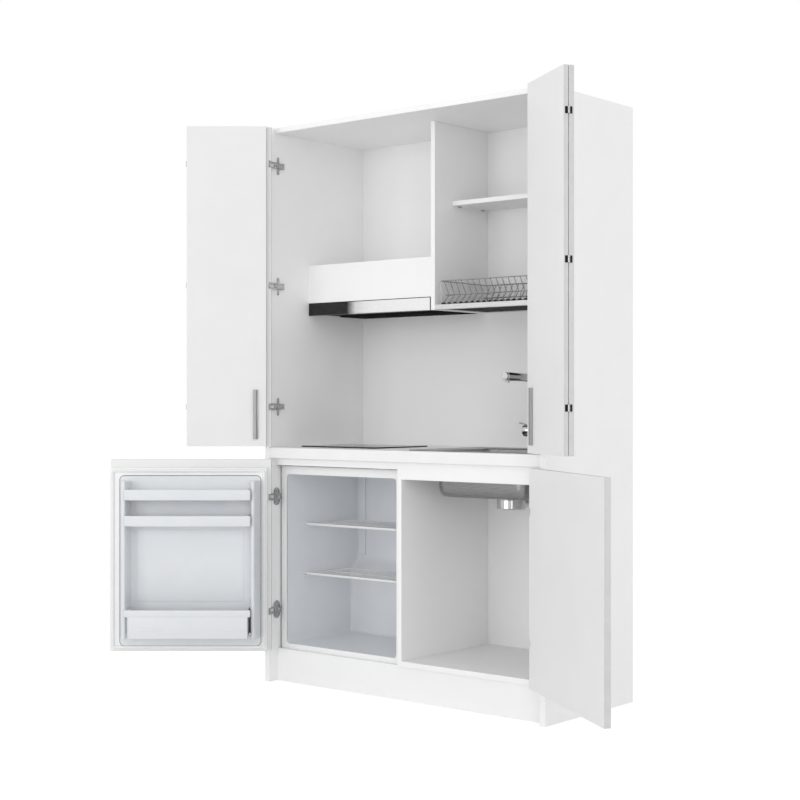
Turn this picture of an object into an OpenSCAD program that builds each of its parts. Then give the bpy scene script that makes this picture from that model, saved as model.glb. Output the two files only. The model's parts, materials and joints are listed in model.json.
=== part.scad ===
// Kitchenette in a tall closet: worktop with sink and hob, refrigerator and sink compartment
// below, hood, dish rack and shelves above, closed by two folding doors and two plain doors.
// Origin: floor level, middle of the back. +X to the right seen from the front, front at -Y,
// +Z up. Millimetres. The doors are drawn open, which is the unit's rest position.

/* [Carcass] */
// Overall width over the side panels
unit_w = 1240; // [1180:10:1400]
// Overall height of the side panels
unit_h = 2025; // [1950:5:2200]
// Depth from the wall to the front edges of the side panels
unit_d = 526; // [510:2:600]
// Thickness of the side panels
side_t = 22; // [18:1:25]
// Thickness of the inner boards
board_t = 18; // [16:1:19]
// Thickness of the back panels
back_t = 5; // [3:1:8]
// Depth of the rebate that takes the back panel in each side panel
back_lap = 10; // [6:1:14]
// How far the inner boards stand behind the front edges
board_setback = 26; // [25:1:34]
// Height of the plinth
plinth_h = 118; // [90:1:150]
// How far the plinth stands behind the front edges
plinth_setback = 40; // [30:1:60]
// Rounding of the long edges of doors and side panels
edge_r = 1.2; // [0.6:0.2:2]

/* [Worktop and niche] */
// Height of the worktop surface above the floor
worktop_z = 856; // [820:2:920]
// Thickness of the worktop
worktop_t = 40; // [28:1:42]
// Clear height between worktop and hood
niche_h = 489; // [450:1:520]
// Height of the rail over the sink compartment
sink_rail_h = 59; // [40:1:70]
// Height of the strip over the refrigerator
strip_h = 25; // [18:1:26]

/* [Upper cabinet] */
// Depth of the upper divider, hood and dish rack, from the wall
upper_d = 317; // [300:1:340]
// Height from the hood's lower edge to the board over it
hood_h = 170; // [150:1:200]
// Height of the steel bar along the hood's front
hood_bar_h = 47; // [36:1:55]
// Thickness of the upper shelf
shelf_t = 16; // [12:1:19]
// Depth of the upper shelf, from the wall
shelf_d = 214; // [180:2:290]
// Clear height over the upper shelf
shelf_head = 271; // [200:1:400]

/* [Upper doors] */
// Thickness of the folding leaves
leaf_t = 16; // [16:1:19]
// How much narrower the inner leaf is than the outer one, to clear the hinges
leaf_offset = 17; // [14:1:30]
// Gap between the two leaves of a pair
leaf_gap = 2; // [1.5:0.5:3]
// Gap between the folded faces
fold_clear = 2.7; // [2.4:0.1:4]
// Gap between the worktop and the leaves
leaf_foot_gap = 5; // [3:1:8]
// Gap above the leaves
leaf_head_gap = 3; // [2:1:6]
// Opening angle of the left pair
left_open = 140.1; // [95:0.1:150]
// Opening angle of the right pair
right_open = 146.8; // [95:0.1:150]

/* [Lower doors] */
// Thickness of the lower doors
lower_t = 22; // [18:1:22]
// Gap between lower doors and worktop
lower_head_gap = 3; // [3:1:6]
// Opening angle of the refrigerator door
fridge_open = 140; // [95:0.1:150]
// Opening angle of the sink door
sink_open = 144.9; // [95:0.1:150]
// Gap between each door and the side panel
side_gap = 1.5; // [1:0.5:3]
// Gap between doors that meet in the middle
meet_gap = 3; // [2:0.5:5]
// Where the lower doors meet, left of the unit's centre line
meet_shift = 12.5; // [0:0.5:13]
// How far the lower doors reach below the upper edge of the plinth
plinth_lap = 1; // [0:1:10]

/* [Handles] */
// Length of the profile handles
handle_len = 179; // [120:1:300]
// Width of the handle's foot on the leaf
handle_w = 18.2; // [17:0.2:26]
// Width of its front face
handle_face = 11; // [9:0.5:12]
// How far the handle stands out from the leaf
handle_reach = 10.5; // [9:0.5:16]
// From the leaf's free edge to the handle's foot
handle_edge = 28.7; // [15:0.1:50]
// From the leaf's lower edge to the handle's lower end
handle_foot = 26; // [20:2:200]

/* [Hinges] */
// Door axis, measured inwards from the side panel
hinge_in = 7; // [6:0.5:10]
// Door axis, measured forwards from the door's outer face
hinge_out = 2.7; // [2:0.1:4]
// Height of each door hinge
hinge_h = 24; // [20:1:30]
// Radius of the hinge pins
pin_r = 1.5; // [1.2:0.1:2]
// Radius of the door hinge eyes
eye_r = 3.7; // [3:0.1:4.5]
// Running clearance round pins and spigots
run_c = 0.05; // [0.02:0.01:0.09]
// Height of the cross plates on the side panels
plate_h = 65; // [50:1:75]
// Upper leaf: lowest hinge above the leaf's foot
leaf_hinge_low = 143; // [90:1:200]
// Upper leaf: highest hinge below the leaf's head
leaf_hinge_high = 134; // [90:1:200]
// Lower door: lower hinge above the door's foot
door_hinge_low = 143; // [90:1:200]
// Lower door: upper hinge below the door's head
door_hinge_high = 138; // [90:1:200]
// Height of the hinges between the leaves
fold_hinge_h = 21; // [18:1:30]
// Radius of the knuckles between the leaves
knuckle_r = 4; // [3:0.1:4.5]

/* [Refrigerator] */
// Gap between refrigerator and side panel
fridge_gap = 6; // [4:0.5:12]
// Refrigerator front behind the front edges
fridge_recess = 57; // [56:1:64]
// Air space behind the refrigerator
fridge_air = 30; // [20:1:60]
// From the worktop's underside down to the refrigerator's top
fridge_head = 28; // [24:1:34]
// Side wall of the refrigerator
fridge_wall = 28; // [25:1:34]
// Top wall of the refrigerator
fridge_top_wall = 31; // [25:1:40]
// Floor thickness above the plinth line
fridge_floor = 20; // [18:1:30]
// Back wall of the refrigerator
fridge_back_wall = 45; // [35:1:60]
// How far the lower back of the cavity stands forward, over the compressor
step_d = 39; // [30:1:50]
// Height of that step over the cavity floor
step_h = 237; // [180:1:260]
// Thickness of the cavity liner
liner_t = 2; // [1.5:0.5:3]
// Height between the two wire shelves
shelf_gap = 184; // [140:1:192]
// Height of the lower shelf over the cavity floor
shelf_low = 242; // [200:1:260]
// Front edge of the shelves behind the refrigerator's front
shelf_front = 96; // [90:1:120]
// Thickness of the insulated door slab
slab_t = 28; // [22:1:30]
// Height of the side ribs inside the door
dyke_h = 63; // [40:1:70]

/* [Hob] */
// Width of the glass plate
hob_w = 360; // [280:5:400]
// Depth of the glass plate
hob_d = 300; // [280:5:360]
// Middle of the hob, left of the unit's centre line
hob_x = 360; // [300:5:370]
// Depth of the hob below the worktop surface
hob_drop = 45; // [42:1:48]

/* [Sink] */
// Width over the rim
sink_w = 570; // [520:5:580]
// Depth over the rim
sink_d = 430; // [420:5:440]
// Gap between the sink's rim and the side panel
sink_side_gap = 13; // [5:1:20]
// Middle of the sink in front of the wall
sink_y = 270; // [268:1:275]
// Width of the bowl
bowl_w = 392; // [340:2:420]
// Depth of the bowl, front to back
bowl_d = 315; // [280:5:320]
// Height of the bowl
bowl_h = 159; // [130:1:180]
// Rounding of the bowl's corners
bowl_r = 45; // [30:1:60]
// Thickness of the sink steel
steel_t = 1.2; // [0.8:0.1:2]

/* [Tap] */
// Height of the spout over the worktop
spout_z = 248; // [180:2:300]
// Length of the spout
spout_len = 172; // [140:2:220]
// Radius of spout and riser
spout_r = 14.5; // [10:0.5:16]
// Radius of the mixer knob
knob_r = 22; // [18:0.5:25]
// Height of the mixer over the worktop
knob_z = 64; // [60:1:90]
// From the tap's axis to the end of the knob
knob_reach = 54; // [52:1:80]

/* [Hidden] */
$fn = 48;
eps = 0.01;

// carcass places
half_in = unit_w / 2 - side_t;
front = -unit_d;
board_front = front + board_setback;
back_in = -back_t;
divider_half = board_t / 2;
worktop_under = worktop_z - worktop_t;
upper_z = worktop_z + niche_h;
top_under = unit_h - board_t;
upper_front = -upper_d;
hood_top = upper_z + hood_h;
shelf_z = top_under - shelf_head - shelf_t;

// door places, in the closed position, left-hand side
hinge_x = -(half_in - hinge_in);
hinge_y = front - hinge_out;
door_edge = -half_in + side_gap;
meet_edge = -meet_gap / 2;
outer_leaf_w = (half_in - side_gap - leaf_gap - meet_gap / 2 + leaf_offset) / 2;
fold_x = door_edge + outer_leaf_w + leaf_gap / 2;
fold_y = front + leaf_t + fold_clear / 2;
leaf_z0 = worktop_z + leaf_foot_gap;
leaf_z1 = unit_h - leaf_head_gap;
leaf_hinges = [leaf_z0 + leaf_hinge_low,
    (leaf_z0 + leaf_hinge_low + leaf_z1 - leaf_hinge_high) / 2,
    leaf_z1 - leaf_hinge_high];
door_z0 = plinth_h - plinth_lap;
door_z1 = worktop_under - lower_head_gap;
door_hinges = [door_z0 + door_hinge_low, door_z1 - door_hinge_high];
notch_c = 0.5;
notch_r = eye_r + notch_c;
prong_gap = 0.3;
barrel_h = hinge_h / 2;

// refrigerator places
fridge_x0 = -half_in + fridge_gap;
fridge_x1 = -divider_half - 3;
fridge_y0 = front + fridge_recess;
fridge_y1 = -fridge_air;
fridge_z0 = plinth_h;
fridge_z1 = worktop_under - fridge_head;
cav_x0 = fridge_x0 + fridge_wall;
cav_x1 = fridge_x1 - fridge_wall;
cav_z0 = fridge_z0 + fridge_floor;
cav_z1 = fridge_z1 - fridge_top_wall;
cav_y1 = fridge_y1 - fridge_back_wall;
flange_t = 2;
base_z0 = 25;
slab_y1 = front + lower_t + slab_t;
seal_gap = 0.3;
slab_x0 = fridge_x0 + 8;
slab_x1 = fridge_x1 - 3;
slab_z0 = fridge_z0 + 6;
slab_z1 = fridge_z1 - 4;
bump_c = 3;
bump_swing = 13;
bump_x0 = cav_x0 + bump_c;
bump_x1 = cav_x1 - bump_swing;
bump_z0 = cav_z0 + bump_c;
bump_z1 = cav_z1 - bump_c;
dyke_base = 40;
dyke_slope = 17.6;
dyke_draft = 12;
seat = 0.3;

// sink and tap places
sink_x = half_in - sink_side_gap - sink_w / 2;
sink_cy = -sink_y;
bowl_x = sink_x - 13;
tap_x = bowl_x;
tap_y = sink_cy + sink_d / 2 - 33.5;
bowl_y = tap_y - 26 - bowl_d / 2;
bowl_z0 = worktop_z - bowl_h;
drain_y = bowl_y + 27;
drain_r = 42;
rim_lap = 12;
trap_y = -62;
outlet_r = 20;
outlet_z = bowl_z0 - 57;

// colours
white = [0.93, 0.93, 0.93];
pale = [0.86, 0.88, 0.90];
steel = [0.66, 0.67, 0.68];
dark = [0.12, 0.12, 0.13];

// ---- helpers ----

// rectangle with rounded corners, from its lower left corner
module soft_rect(w, d, r) {
    translate([r, 0]) square([w - 2 * r, d]);
    translate([0, r]) square([w, d - 2 * r]);
    for (x = [r, w - r], y = [r, d - r]) translate([x, y]) circle(r);
}

// board between two corners, all edges sharp
module board(a, b) {
    translate(a) cube(b - a);
}

// board between two corners, with its vertical edges rounded
module soft_board(a, b, r = edge_r) {
    translate(a) linear_extrude(b.z - a.z) soft_rect(b.x - a.x, b.y - a.y, r);
}

// cylinder between two points
module rod(a, b, r) {
    d = b - a;
    l = norm(d);
    translate(a)
        rotate([0, acos(d.z / l), atan2(d.y, d.x)])
            cylinder(r = r, h = l);
}

// wire through a list of points, with rounded corners
module wire(points, r) {
    for (i = [0:len(points) - 2]) rod(points[i], points[i + 1], r);
    for (i = [1:1:len(points) - 2]) translate(points[i]) sphere(r);
}

// tub with rounded corners and a rounded bottom edge, open upwards
module tub(w, d, h, r) {
    for (x = [r, w - r], y = [r, d - r]) {
        translate([x, y, r]) cylinder(r = r, h = h - r);
        translate([x, y, r]) sphere(r);
    }
    translate([r, r, 0]) cube([w - 2 * r, d - 2 * r, h]);
    translate([0, r, r]) cube([w, d - 2 * r, h - r]);
    translate([r, 0, r]) cube([w - 2 * r, d, h - r]);
    for (x = [r, w - r]) translate([x, r, r]) rotate([-90, 0, 0]) cylinder(r = r, h = d - 2 * r);
    for (y = [r, d - r]) translate([r, y, r]) rotate([0, 90, 0]) cylinder(r = r, h = w - 2 * r);
}

// turns a left-hand door from its closed to its open position
module swing(angle) {
    translate([hinge_x, hinge_y, 0]) rotate([0, 0, -angle]) translate([-hinge_x, -hinge_y, 0])
        children();
}

// folds the inner leaf flat behind the outer one
module fold() {
    translate([fold_x, fold_y, 0]) rotate([0, 0, 180]) translate([-fold_x, -fold_y, 0])
        children();
}

module mirrored() {
    mirror([1, 0, 0]) children();
}

// box without a lid, standing on the middle of its floor
module open_box(w, d, h, t) {
    difference() {
        translate([-w / 2, -d / 2, 0]) cube([w, d, h]);
        translate([-w / 2 + t, -d / 2 + t, t]) cube([w - 2 * t, d - 2 * t, h]);
    }
}

// ---- carcass ----

module side_panel() {
    color(white) difference() {
        soft_board([-unit_w / 2, front, 0], [-half_in, 0, unit_h]);
        translate([-half_in - back_lap, back_in, -1]) cube([back_lap + 1, back_t + 1, unit_h + 2]);
    }
}

module side_panel_left() side_panel();

module side_panel_right() mirrored() side_panel();

module top_panel() {
    color(white) board([-half_in, board_front, top_under], [half_in, back_in, unit_h]);
}

module bottom_panel() {
    color(white)
        board([divider_half, board_front, plinth_h], [half_in, back_in, plinth_h + board_t]);
}

module lower_divider() {
    color(white) difference() {
        board([-divider_half, board_front, 0], [divider_half, 0, worktop_under]);
        translate([-divider_half - 1, board_front - 1, -1])
            cube([board_t + 2, plinth_setback + board_t - board_setback + 1, plinth_h + 1]);
    }
}

module upper_divider() {
    color(white) board([-divider_half, upper_front, upper_z], [divider_half, back_in, top_under]);
}

module plinth() {
    color(white) board([-half_in, front + plinth_setback, 0],
        [half_in, front + plinth_setback + board_t, plinth_h]);
}

module worktop() {
    nose_r = 3;
    color(white) difference() {
        union() {
            board([-half_in, front + nose_r, worktop_under], [half_in, back_in, worktop_z]);
            board([-half_in, front, worktop_under + nose_r],
                [half_in, front + nose_r + eps, worktop_z - nose_r]);
            for (z = [worktop_under + nose_r, worktop_z - nose_r])
                translate([-half_in, front + nose_r, z])
                    rotate([0, 90, 0]) cylinder(r = nose_r, h = 2 * half_in);
        }
        translate([-hob_x - hob_w / 2 + rim_lap, sink_cy - hob_d / 2 + rim_lap,
            worktop_under - 1]) cube([hob_w - 2 * rim_lap, hob_d - 2 * rim_lap, worktop_t + 2]);
        translate([sink_x - sink_w / 2 + rim_lap, sink_cy - sink_d / 2 + rim_lap,
            worktop_under - 1]) cube([sink_w - 2 * rim_lap, sink_d - 2 * rim_lap, worktop_t + 2]);
    }
}

module back_panel_upper() {
    color(white) board([-half_in - back_lap, back_in, worktop_under],
        [half_in + back_lap, 0, unit_h]);
}

// the hole leaves room for the sleeve of the waste pipe in the wall
module back_panel_lower() {
    hole_r = 38;
    color(white) difference() {
        board([divider_half, back_in, 0], [half_in + back_lap, 0, worktop_under]);
        translate([bowl_x, 1, outlet_z]) rotate([90, 0, 0])
            cylinder(r = hole_r, h = back_t + 2);
    }
}

module sink_rail() {
    color(white) board([divider_half, board_front, worktop_under - sink_rail_h],
        [half_in, board_front + board_t, worktop_under]);
}

module fridge_strip() {
    color(white) board([-half_in, board_front, worktop_under - strip_h],
        [-divider_half, board_front + board_t, worktop_under]);
}

module upper_shelf() {
    color(white) board([divider_half, -shelf_d, shelf_z], [half_in, back_in, shelf_z + shelf_t]);
}

module shelf_clips() {
    clip = [8, 12, 4];
    color(steel) for (x = [divider_half, half_in - clip.x], y = [-shelf_d + 30, back_in - 42])
        translate([x, y, shelf_z - clip.z]) cube(clip);
}

// ---- hood ----

module hood_shelf() {
    color(white) board([-half_in, upper_front, hood_top],
        [-divider_half, back_in, hood_top + board_t]);
}

module hood_front_board() {
    color(white) board([-half_in, upper_front, upper_z + hood_bar_h],
        [-divider_half, upper_front + shelf_t, hood_top]);
}

hood_x0 = -half_in + 2;
hood_x1 = -divider_half - 2;
hood_under = upper_z + 17;
filter_t = 6;
sheet_t = 1.5;
filter_gap = 24;
filter_w = (hood_x1 - hood_x0 - 3 * filter_gap) / 2;
filter_y0 = upper_front + shelf_t + filter_gap;
filter_y1 = back_in - 5 - filter_gap;

module filter_place(i) {
    translate([hood_x0 + filter_gap + i * (filter_w + filter_gap), filter_y0, hood_under])
        children();
}

module hood_body() {
    color(steel) difference() {
        board([hood_x0, upper_front + shelf_t, hood_under], [hood_x1, back_in - 5, hood_top]);
        board([hood_x0 + sheet_t, upper_front + shelf_t + sheet_t, hood_under + filter_t + sheet_t],
            [hood_x1 - sheet_t, back_in - 5 - sheet_t, hood_top + 1]);
        for (i = [0, 1]) filter_place(i)
            translate([0, 0, -1]) cube([filter_w, filter_y1 - filter_y0, filter_t + 1]);
    }
}

module hood_filters() {
    slots = 14;
    rim = 12;
    pitch = (filter_w - 2 * rim) / slots;
    color(dark) for (i = [0, 1]) filter_place(i) difference() {
        cube([filter_w, filter_y1 - filter_y0, filter_t]);
        for (k = [0:slots - 1]) translate([rim + (k + 0.25) * pitch, rim, -1])
            cube([pitch / 2, filter_y1 - filter_y0 - 2 * rim, filter_t - 1.5]);
    }
}

// pull-out part of the hood: front bar and, behind it, the visor between two runners
visor_z = upper_z + 5;
visor_t = hood_under - seat - visor_z;
runner_w = 16;
visor_d = 205;
bar_t = 12;

module hood_bar() {
    color(steel) {
        soft_y_bar([hood_x0, upper_front, upper_z], [hood_x1, upper_front + bar_t,
            upper_z + hood_bar_h - seat]);
        for (x = [hood_x0 + 4, hood_x1 - 4 - runner_w])
            board([x, upper_front + bar_t, visor_z], [x + runner_w,
                upper_front + bar_t + visor_d, visor_z + visor_t]);
    }
}

// bar along X with its front edges rounded
module soft_y_bar(a, b, r = 2) {
    translate([a.x, a.y + r, a.z]) cube([b.x - a.x, b.y - a.y - r, b.z - a.z]);
    translate([a.x, a.y, a.z + r]) cube([b.x - a.x, r + eps, b.z - a.z - 2 * r]);
    for (z = [a.z + r, b.z - r]) translate([a.x, a.y + r, z])
        rotate([0, 90, 0]) cylinder(r = r, h = b.x - a.x);
}

module hood_visor() {
    glass_t = 4;
    color([0.2, 0.22, 0.24, 0.6]) board(
        [hood_x0 + 4 + runner_w, upper_front + bar_t, visor_z + 2],
        [hood_x1 - 4 - runner_w, upper_front + bar_t + visor_d - 60, visor_z + 2 + glass_t]);
}

// ---- hob ----

hob_y = sink_cy;
glass_lift = 1;
hob_glass_t = 4;

module hob_glass() {
    color(dark) translate([-hob_x - hob_w / 2, hob_y - hob_d / 2, worktop_z + glass_lift])
        linear_extrude(hob_glass_t) soft_rect(hob_w, hob_d, 6);
}

// tray under the glass, with the seal that carries the glass on the worktop
module hob_tray() {
    tray_c = 3;
    color(steel) {
        translate([-hob_x - hob_w / 2 + 2, hob_y - hob_d / 2 + 2, worktop_z]) difference() {
            cube([hob_w - 4, hob_d - 4, glass_lift]);
            translate([rim_lap - 2, rim_lap - 2, -1])
                cube([hob_w - 2 * rim_lap, hob_d - 2 * rim_lap, glass_lift + 2]);
        }
        translate([-hob_x, hob_y, worktop_z - hob_drop + 5])
            open_box(hob_w - 2 * rim_lap - 2 * tray_c, hob_d - 2 * rim_lap - 2 * tray_c,
                hob_drop - 5 + glass_lift, sheet_t);
    }
}

// ---- sink, waste and tap ----

module sink_bowl() {
    rim_r = 30;
    bead = 2.5;
    color(steel) difference() {
        union() {
            translate([sink_x - sink_w / 2, sink_cy - sink_d / 2, worktop_z])
                linear_extrude(steel_t) soft_rect(sink_w, sink_d, rim_r);
            translate([sink_x - sink_w / 2, sink_cy - sink_d / 2, worktop_z])
                linear_extrude(bead) difference() {
                    soft_rect(sink_w, sink_d, rim_r);
                    translate([6, 6]) soft_rect(sink_w - 12, sink_d - 12, rim_r - 6);
                }
            translate([bowl_x - bowl_w / 2, bowl_y - bowl_d / 2, bowl_z0])
                tub(bowl_w, bowl_d, bowl_h + steel_t, bowl_r);
        }
        translate([bowl_x - bowl_w / 2 + steel_t, bowl_y - bowl_d / 2 + steel_t,
            bowl_z0 + steel_t])
            tub(bowl_w - 2 * steel_t, bowl_d - 2 * steel_t, bowl_h + 10, bowl_r - steel_t);
        translate([bowl_x, drain_y, bowl_z0 - 1]) cylinder(r = drain_r, h = 10);
        translate([tap_x, tap_y, worktop_z - 1]) cylinder(r = shank_r + 0.5, h = 10);
    }
}
shank_r = 16;

waste_r = 50;
waste_h = 33;
waste_drop = 9;
waste_wall = 2.5;
outlet_pipe_r = 15;
outlet_pipe_z = bowl_z0 - waste_drop - waste_h / 2;

module sink_waste() {
    in_r = drain_r - 0.3 - waste_wall;
    z1 = bowl_z0 - waste_drop;
    z0 = z1 - waste_h;
    color(steel) translate([bowl_x, drain_y, 0]) {
        difference() {
            union() {
                translate([0, 0, z0]) cylinder(r = waste_r, h = waste_h);
                translate([0, 0, z0]) cylinder(r = drain_r - 0.3,
                    h = waste_h + waste_drop + steel_t + 1.5);
                translate([0, 0, bowl_z0 + steel_t]) cylinder(r = waste_r + 3, h = 1.5);
                translate([0, 0, z1]) cylinder(r = waste_r + 4, h = waste_drop - 0.2);
            }
            translate([0, 0, z0 + waste_wall]) cylinder(r = in_r, h = bowl_h);
            translate([0, 0, z0 + waste_wall])
                cylinder(r = waste_r - waste_wall, h = waste_h - 2 * waste_wall);
            translate([0, in_r - 5, outlet_pipe_z]) rotate([-90, 0, 0])
                cylinder(r = outlet_pipe_r - waste_wall, h = 30);
        }
        difference() {
            translate([0, waste_r - 2, outlet_pipe_z]) rotate([-90, 0, 0])
                cylinder(r = outlet_pipe_r, h = trap_y - drain_y - trap_r - waste_r + 2);
            translate([0, waste_r - 6, outlet_pipe_z]) rotate([-90, 0, 0])
                cylinder(r = outlet_pipe_r - waste_wall, h = trap_y - drain_y);
        }
    }
}
trap_r = 26;
outlet_end = back_in - 3;
outlet_len = 24;

module sink_trap() {
    trap_z0 = outlet_z - 70;
    trap_z1 = outlet_pipe_z + outlet_pipe_r + 8;
    cup_r = trap_r + 4;
    color(white) translate([bowl_x, trap_y, 0]) {
        difference() {
            union() {
                translate([0, 0, trap_z0]) cylinder(r = trap_r, h = trap_z1 - trap_z0);
                translate([0, 0, trap_z0]) cylinder(r = cup_r, h = 30);
                translate([0, 0, outlet_z]) rotate([-90, 0, 0])
                    cylinder(r = outlet_r, h = outlet_end - trap_y);
                translate([0, 0, outlet_z]) rotate([-90, 0, 0])
                    cylinder(r = outlet_r + 4, h = outlet_end - outlet_len - trap_y);
                translate([0, 0, outlet_pipe_z]) rotate([90, 0, 0])
                    cylinder(r = trap_r - 4, h = trap_r);
            }
            translate([0, 0, trap_z0 + 3]) cylinder(r = trap_r - 3, h = trap_z1 - trap_z0 - 6);
            translate([0, 0, outlet_z]) rotate([-90, 0, 0])
                cylinder(r = outlet_r - 2, h = 1 - trap_y);
            translate([0, 0, outlet_pipe_z]) rotate([90, 0, 0])
                cylinder(r = outlet_pipe_r - waste_wall, h = trap_r + 1);
        }
    }
}

// basket that hangs in the waste and lifts out
module sink_strainer() {
    r = drain_r - 0.3 - waste_wall - seat;
    wall = 1;
    cup_h = 22;
    z1 = bowl_z0 + steel_t + 1.5 + seat;
    color(steel) translate([bowl_x, drain_y, 0]) difference() {
        union() {
            translate([0, 0, z1]) cylinder(r = r + 5, h = 1.2);
            translate([0, 0, z1 - cup_h]) cylinder(r = r, h = cup_h);
            translate([0, 0, z1 - cup_h]) cylinder(r = 4, h = cup_h + 8);
        }
        difference() {
            translate([0, 0, z1 - cup_h + wall]) cylinder(r = r - wall, h = cup_h + 10);
            translate([0, 0, z1 - cup_h]) cylinder(r = 4, h = cup_h + 20);
        }
        for (ring = [12, 20, 28], a = [0:360 / (ring / 2):359]) rotate([0, 0, a])
            translate([ring, 0, z1 - cup_h - 1]) cylinder(r = 2, h = wall + 2, $fn = 16);
    }
}

riser_z = spout_z - 24;
spigot_r = 8;
spigot_h = 12;
collar_x = knob_reach - 27;

module tap_body() {
    column_r = 20;
    tail_drop = 110;
    color(steel) translate([tap_x, tap_y, worktop_z + steel_t]) {
        cylinder(r = 25, h = 5);
        cylinder(r = column_r, h = knob_z + knob_r + 2);
        cylinder(r = spout_r, h = riser_z - steel_t);
        cylinder(r = spigot_r, h = riser_z - steel_t + spigot_h);
        translate([0, 0, knob_z]) rotate([0, -90, 0]) cylinder(r = knob_r, h = collar_x);
        translate([0, 0, knob_z]) rotate([0, -90, 0]) cylinder(r = spigot_r, h = knob_reach - 12);
        translate([0, 0, -steel_t - 42]) cylinder(r = shank_r, h = 50);
        translate([0, 0, -steel_t - 24]) cylinder(r = 19, h = 24 - 0.2);
        for (x = [-10.5, 10.5]) translate([x, 0, -steel_t - tail_drop])
            cylinder(r = 5, h = tail_drop - 30);
    }
}

module tap_spout() {
    rise = 2;
    turn = 6;
    elbow_r = spout_r + 1;
    color(steel) translate([tap_x, tap_y, worktop_z]) difference() {
        union() {
            translate([0, 0, riser_z + seat]) cylinder(r = elbow_r,
                h = spout_z + spout_r + 2 - riser_z - seat);
            translate([0, 0, spout_z]) rotate([90 - rise, 0, -turn])
                cylinder(r = spout_r, h = spout_len);
            rotate([0, 0, -turn]) translate([0, -(spout_len - 16) * cos(rise),
                spout_z + (spout_len - 16) * sin(rise) - spout_r - 6])
                cylinder(r = 8, h = 12);
        }
        translate([0, 0, riser_z - 1]) cylinder(r = spigot_r + run_c, h = spigot_h + 1.5);
    }
}

module tap_knob() {
    lever_len = 58;
    lever_r = 3.5;
    lever_rise = 12;
    knob_w = knob_reach - collar_x - seat;
    color(steel) translate([tap_x - knob_reach, tap_y, worktop_z + steel_t + knob_z]) difference() {
        union() {
            rotate([0, 90, 0]) cylinder(r = knob_r, h = knob_w);
            translate([knob_w / 2, 0, knob_r - lever_r - 1]) rotate([90 - lever_rise, 0, 0])
                cylinder(r = lever_r, h = lever_len);
        }
        translate([11.5, 0, 0]) rotate([0, 90, 0]) cylinder(r = spigot_r + run_c, h = knob_w);
    }
}

// ---- dish rack ----

rack_x0 = divider_half;
rack_x1 = half_in;
rack_y1 = -20;
rack_h = 17;
rail_w = 18;
lip = 6;
lip_t = 3;
rack_z = upper_z + 1;

// four rails with a lip inside, mitred at the corners
module rack_frame() {
    mitre = 0.2;
    color(steel) difference() {
        board([rack_x0, upper_front, rack_z], [rack_x1, rack_y1, rack_z + rack_h]);
        board([rack_x0 + rail_w, upper_front + rail_w, rack_z + lip_t],
            [rack_x1 - rail_w, rack_y1 - rail_w, rack_z + rack_h + 1]);
        board([rack_x0 + rail_w + lip, upper_front + rail_w + lip, rack_z - 1],
            [rack_x1 - rail_w - lip, rack_y1 - rail_w - lip, rack_z + rack_h + 1]);
        for (c = [[rack_x0, upper_front, 45], [rack_x1, upper_front, 135],
            [rack_x1, rack_y1, 225], [rack_x0, rack_y1, 315]])
            translate([c.x, c.y, rack_z - 1]) rotate(c.z) translate([-1, -mitre / 2, 0])
                cube([2 * (rail_w + lip), mitre, rack_h + 2]);
    }
}

module drip_tray() {
    c = 1;
    wall = 1.5;
    a = [rack_x0 + rail_w + c, upper_front + rail_w + c, rack_z + lip_t];
    b = [rack_x1 - rail_w - c, rack_y1 - rail_w - c, rack_z + rack_h - 5];
    color(dark) difference() {
        board(a, b);
        board(a + [wall, wall, wall], b + [-wall, -wall, 1]);
    }
}

// wires that hold the plates, with clips on the frame's rails
plate_pitch = 25;
rack_wire_r = 1.4;
plate_head = 82;

// flat-drawn wire in a plane of constant X, through points given as [y, z]
module plate_wire(x, points, w) {
    joint_r = w / 2 + 0.1;
    translate([x - w / 2, 0, 0]) rotate([90, 0, 90]) linear_extrude(w) {
        for (i = [0:len(points) - 2]) {
            d = points[i + 1] - points[i];
            translate(points[i]) rotate(atan2(d.y, d.x)) translate([0, -w / 2])
                square([norm(d), w]);
        }
        for (p = points) translate(p) circle(joint_r, $fn = 24);
    }
}

module plate_rack() {
    wires = floor((rack_x1 - rack_x0 - 2 * rail_w) / plate_pitch);
    first = (rack_x0 + rack_x1 - (wires - 1) * plate_pitch) / 2;
    z0 = rack_z + rack_h + seat;
    y0 = upper_front + 10;
    y1 = rack_y1 - 10;
    clip_h = 6;
    foot = z0 + clip_h / 2;
    mid = z0 + 34;
    head = z0 + plate_head;
    lean = 30;
    bar_r = 2;
    end_w = 5;
    x_end = [first - 14, first + (wires - 1) * plate_pitch + 14];
    color(steel) {
        for (i = [0:wires - 1])
            plate_wire(first + i * plate_pitch, [[y0 + 2, head], [y0 + lean, mid], [y0, foot],
                [y1, foot], [y1 - lean, mid], [y1 - 2, head]], 2 * rack_wire_r);
        for (x = x_end)
            plate_wire(x, [[y0 + 2, head], [y0 + 4, foot], [y1 - 4, foot], [y1 - 2, head],
                [y0 + 2, head]], end_w);
        for (p = [[y0 + 2, head], [y1 - 2, head], [y0 + lean, mid], [y1 - lean, mid],
            [(y0 + y1) / 2, foot + 1]])
            rod([x_end[0], p.x, p.y], [x_end[1], p.x, p.y], bar_r);
    }
    color(dark) for (i = [0:wires - 1], y = [y0, y1])
        translate([first + i * plate_pitch - 6, y - 5, z0]) cube([12, 10, clip_h]);
}

// ---- hinges ----

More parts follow.
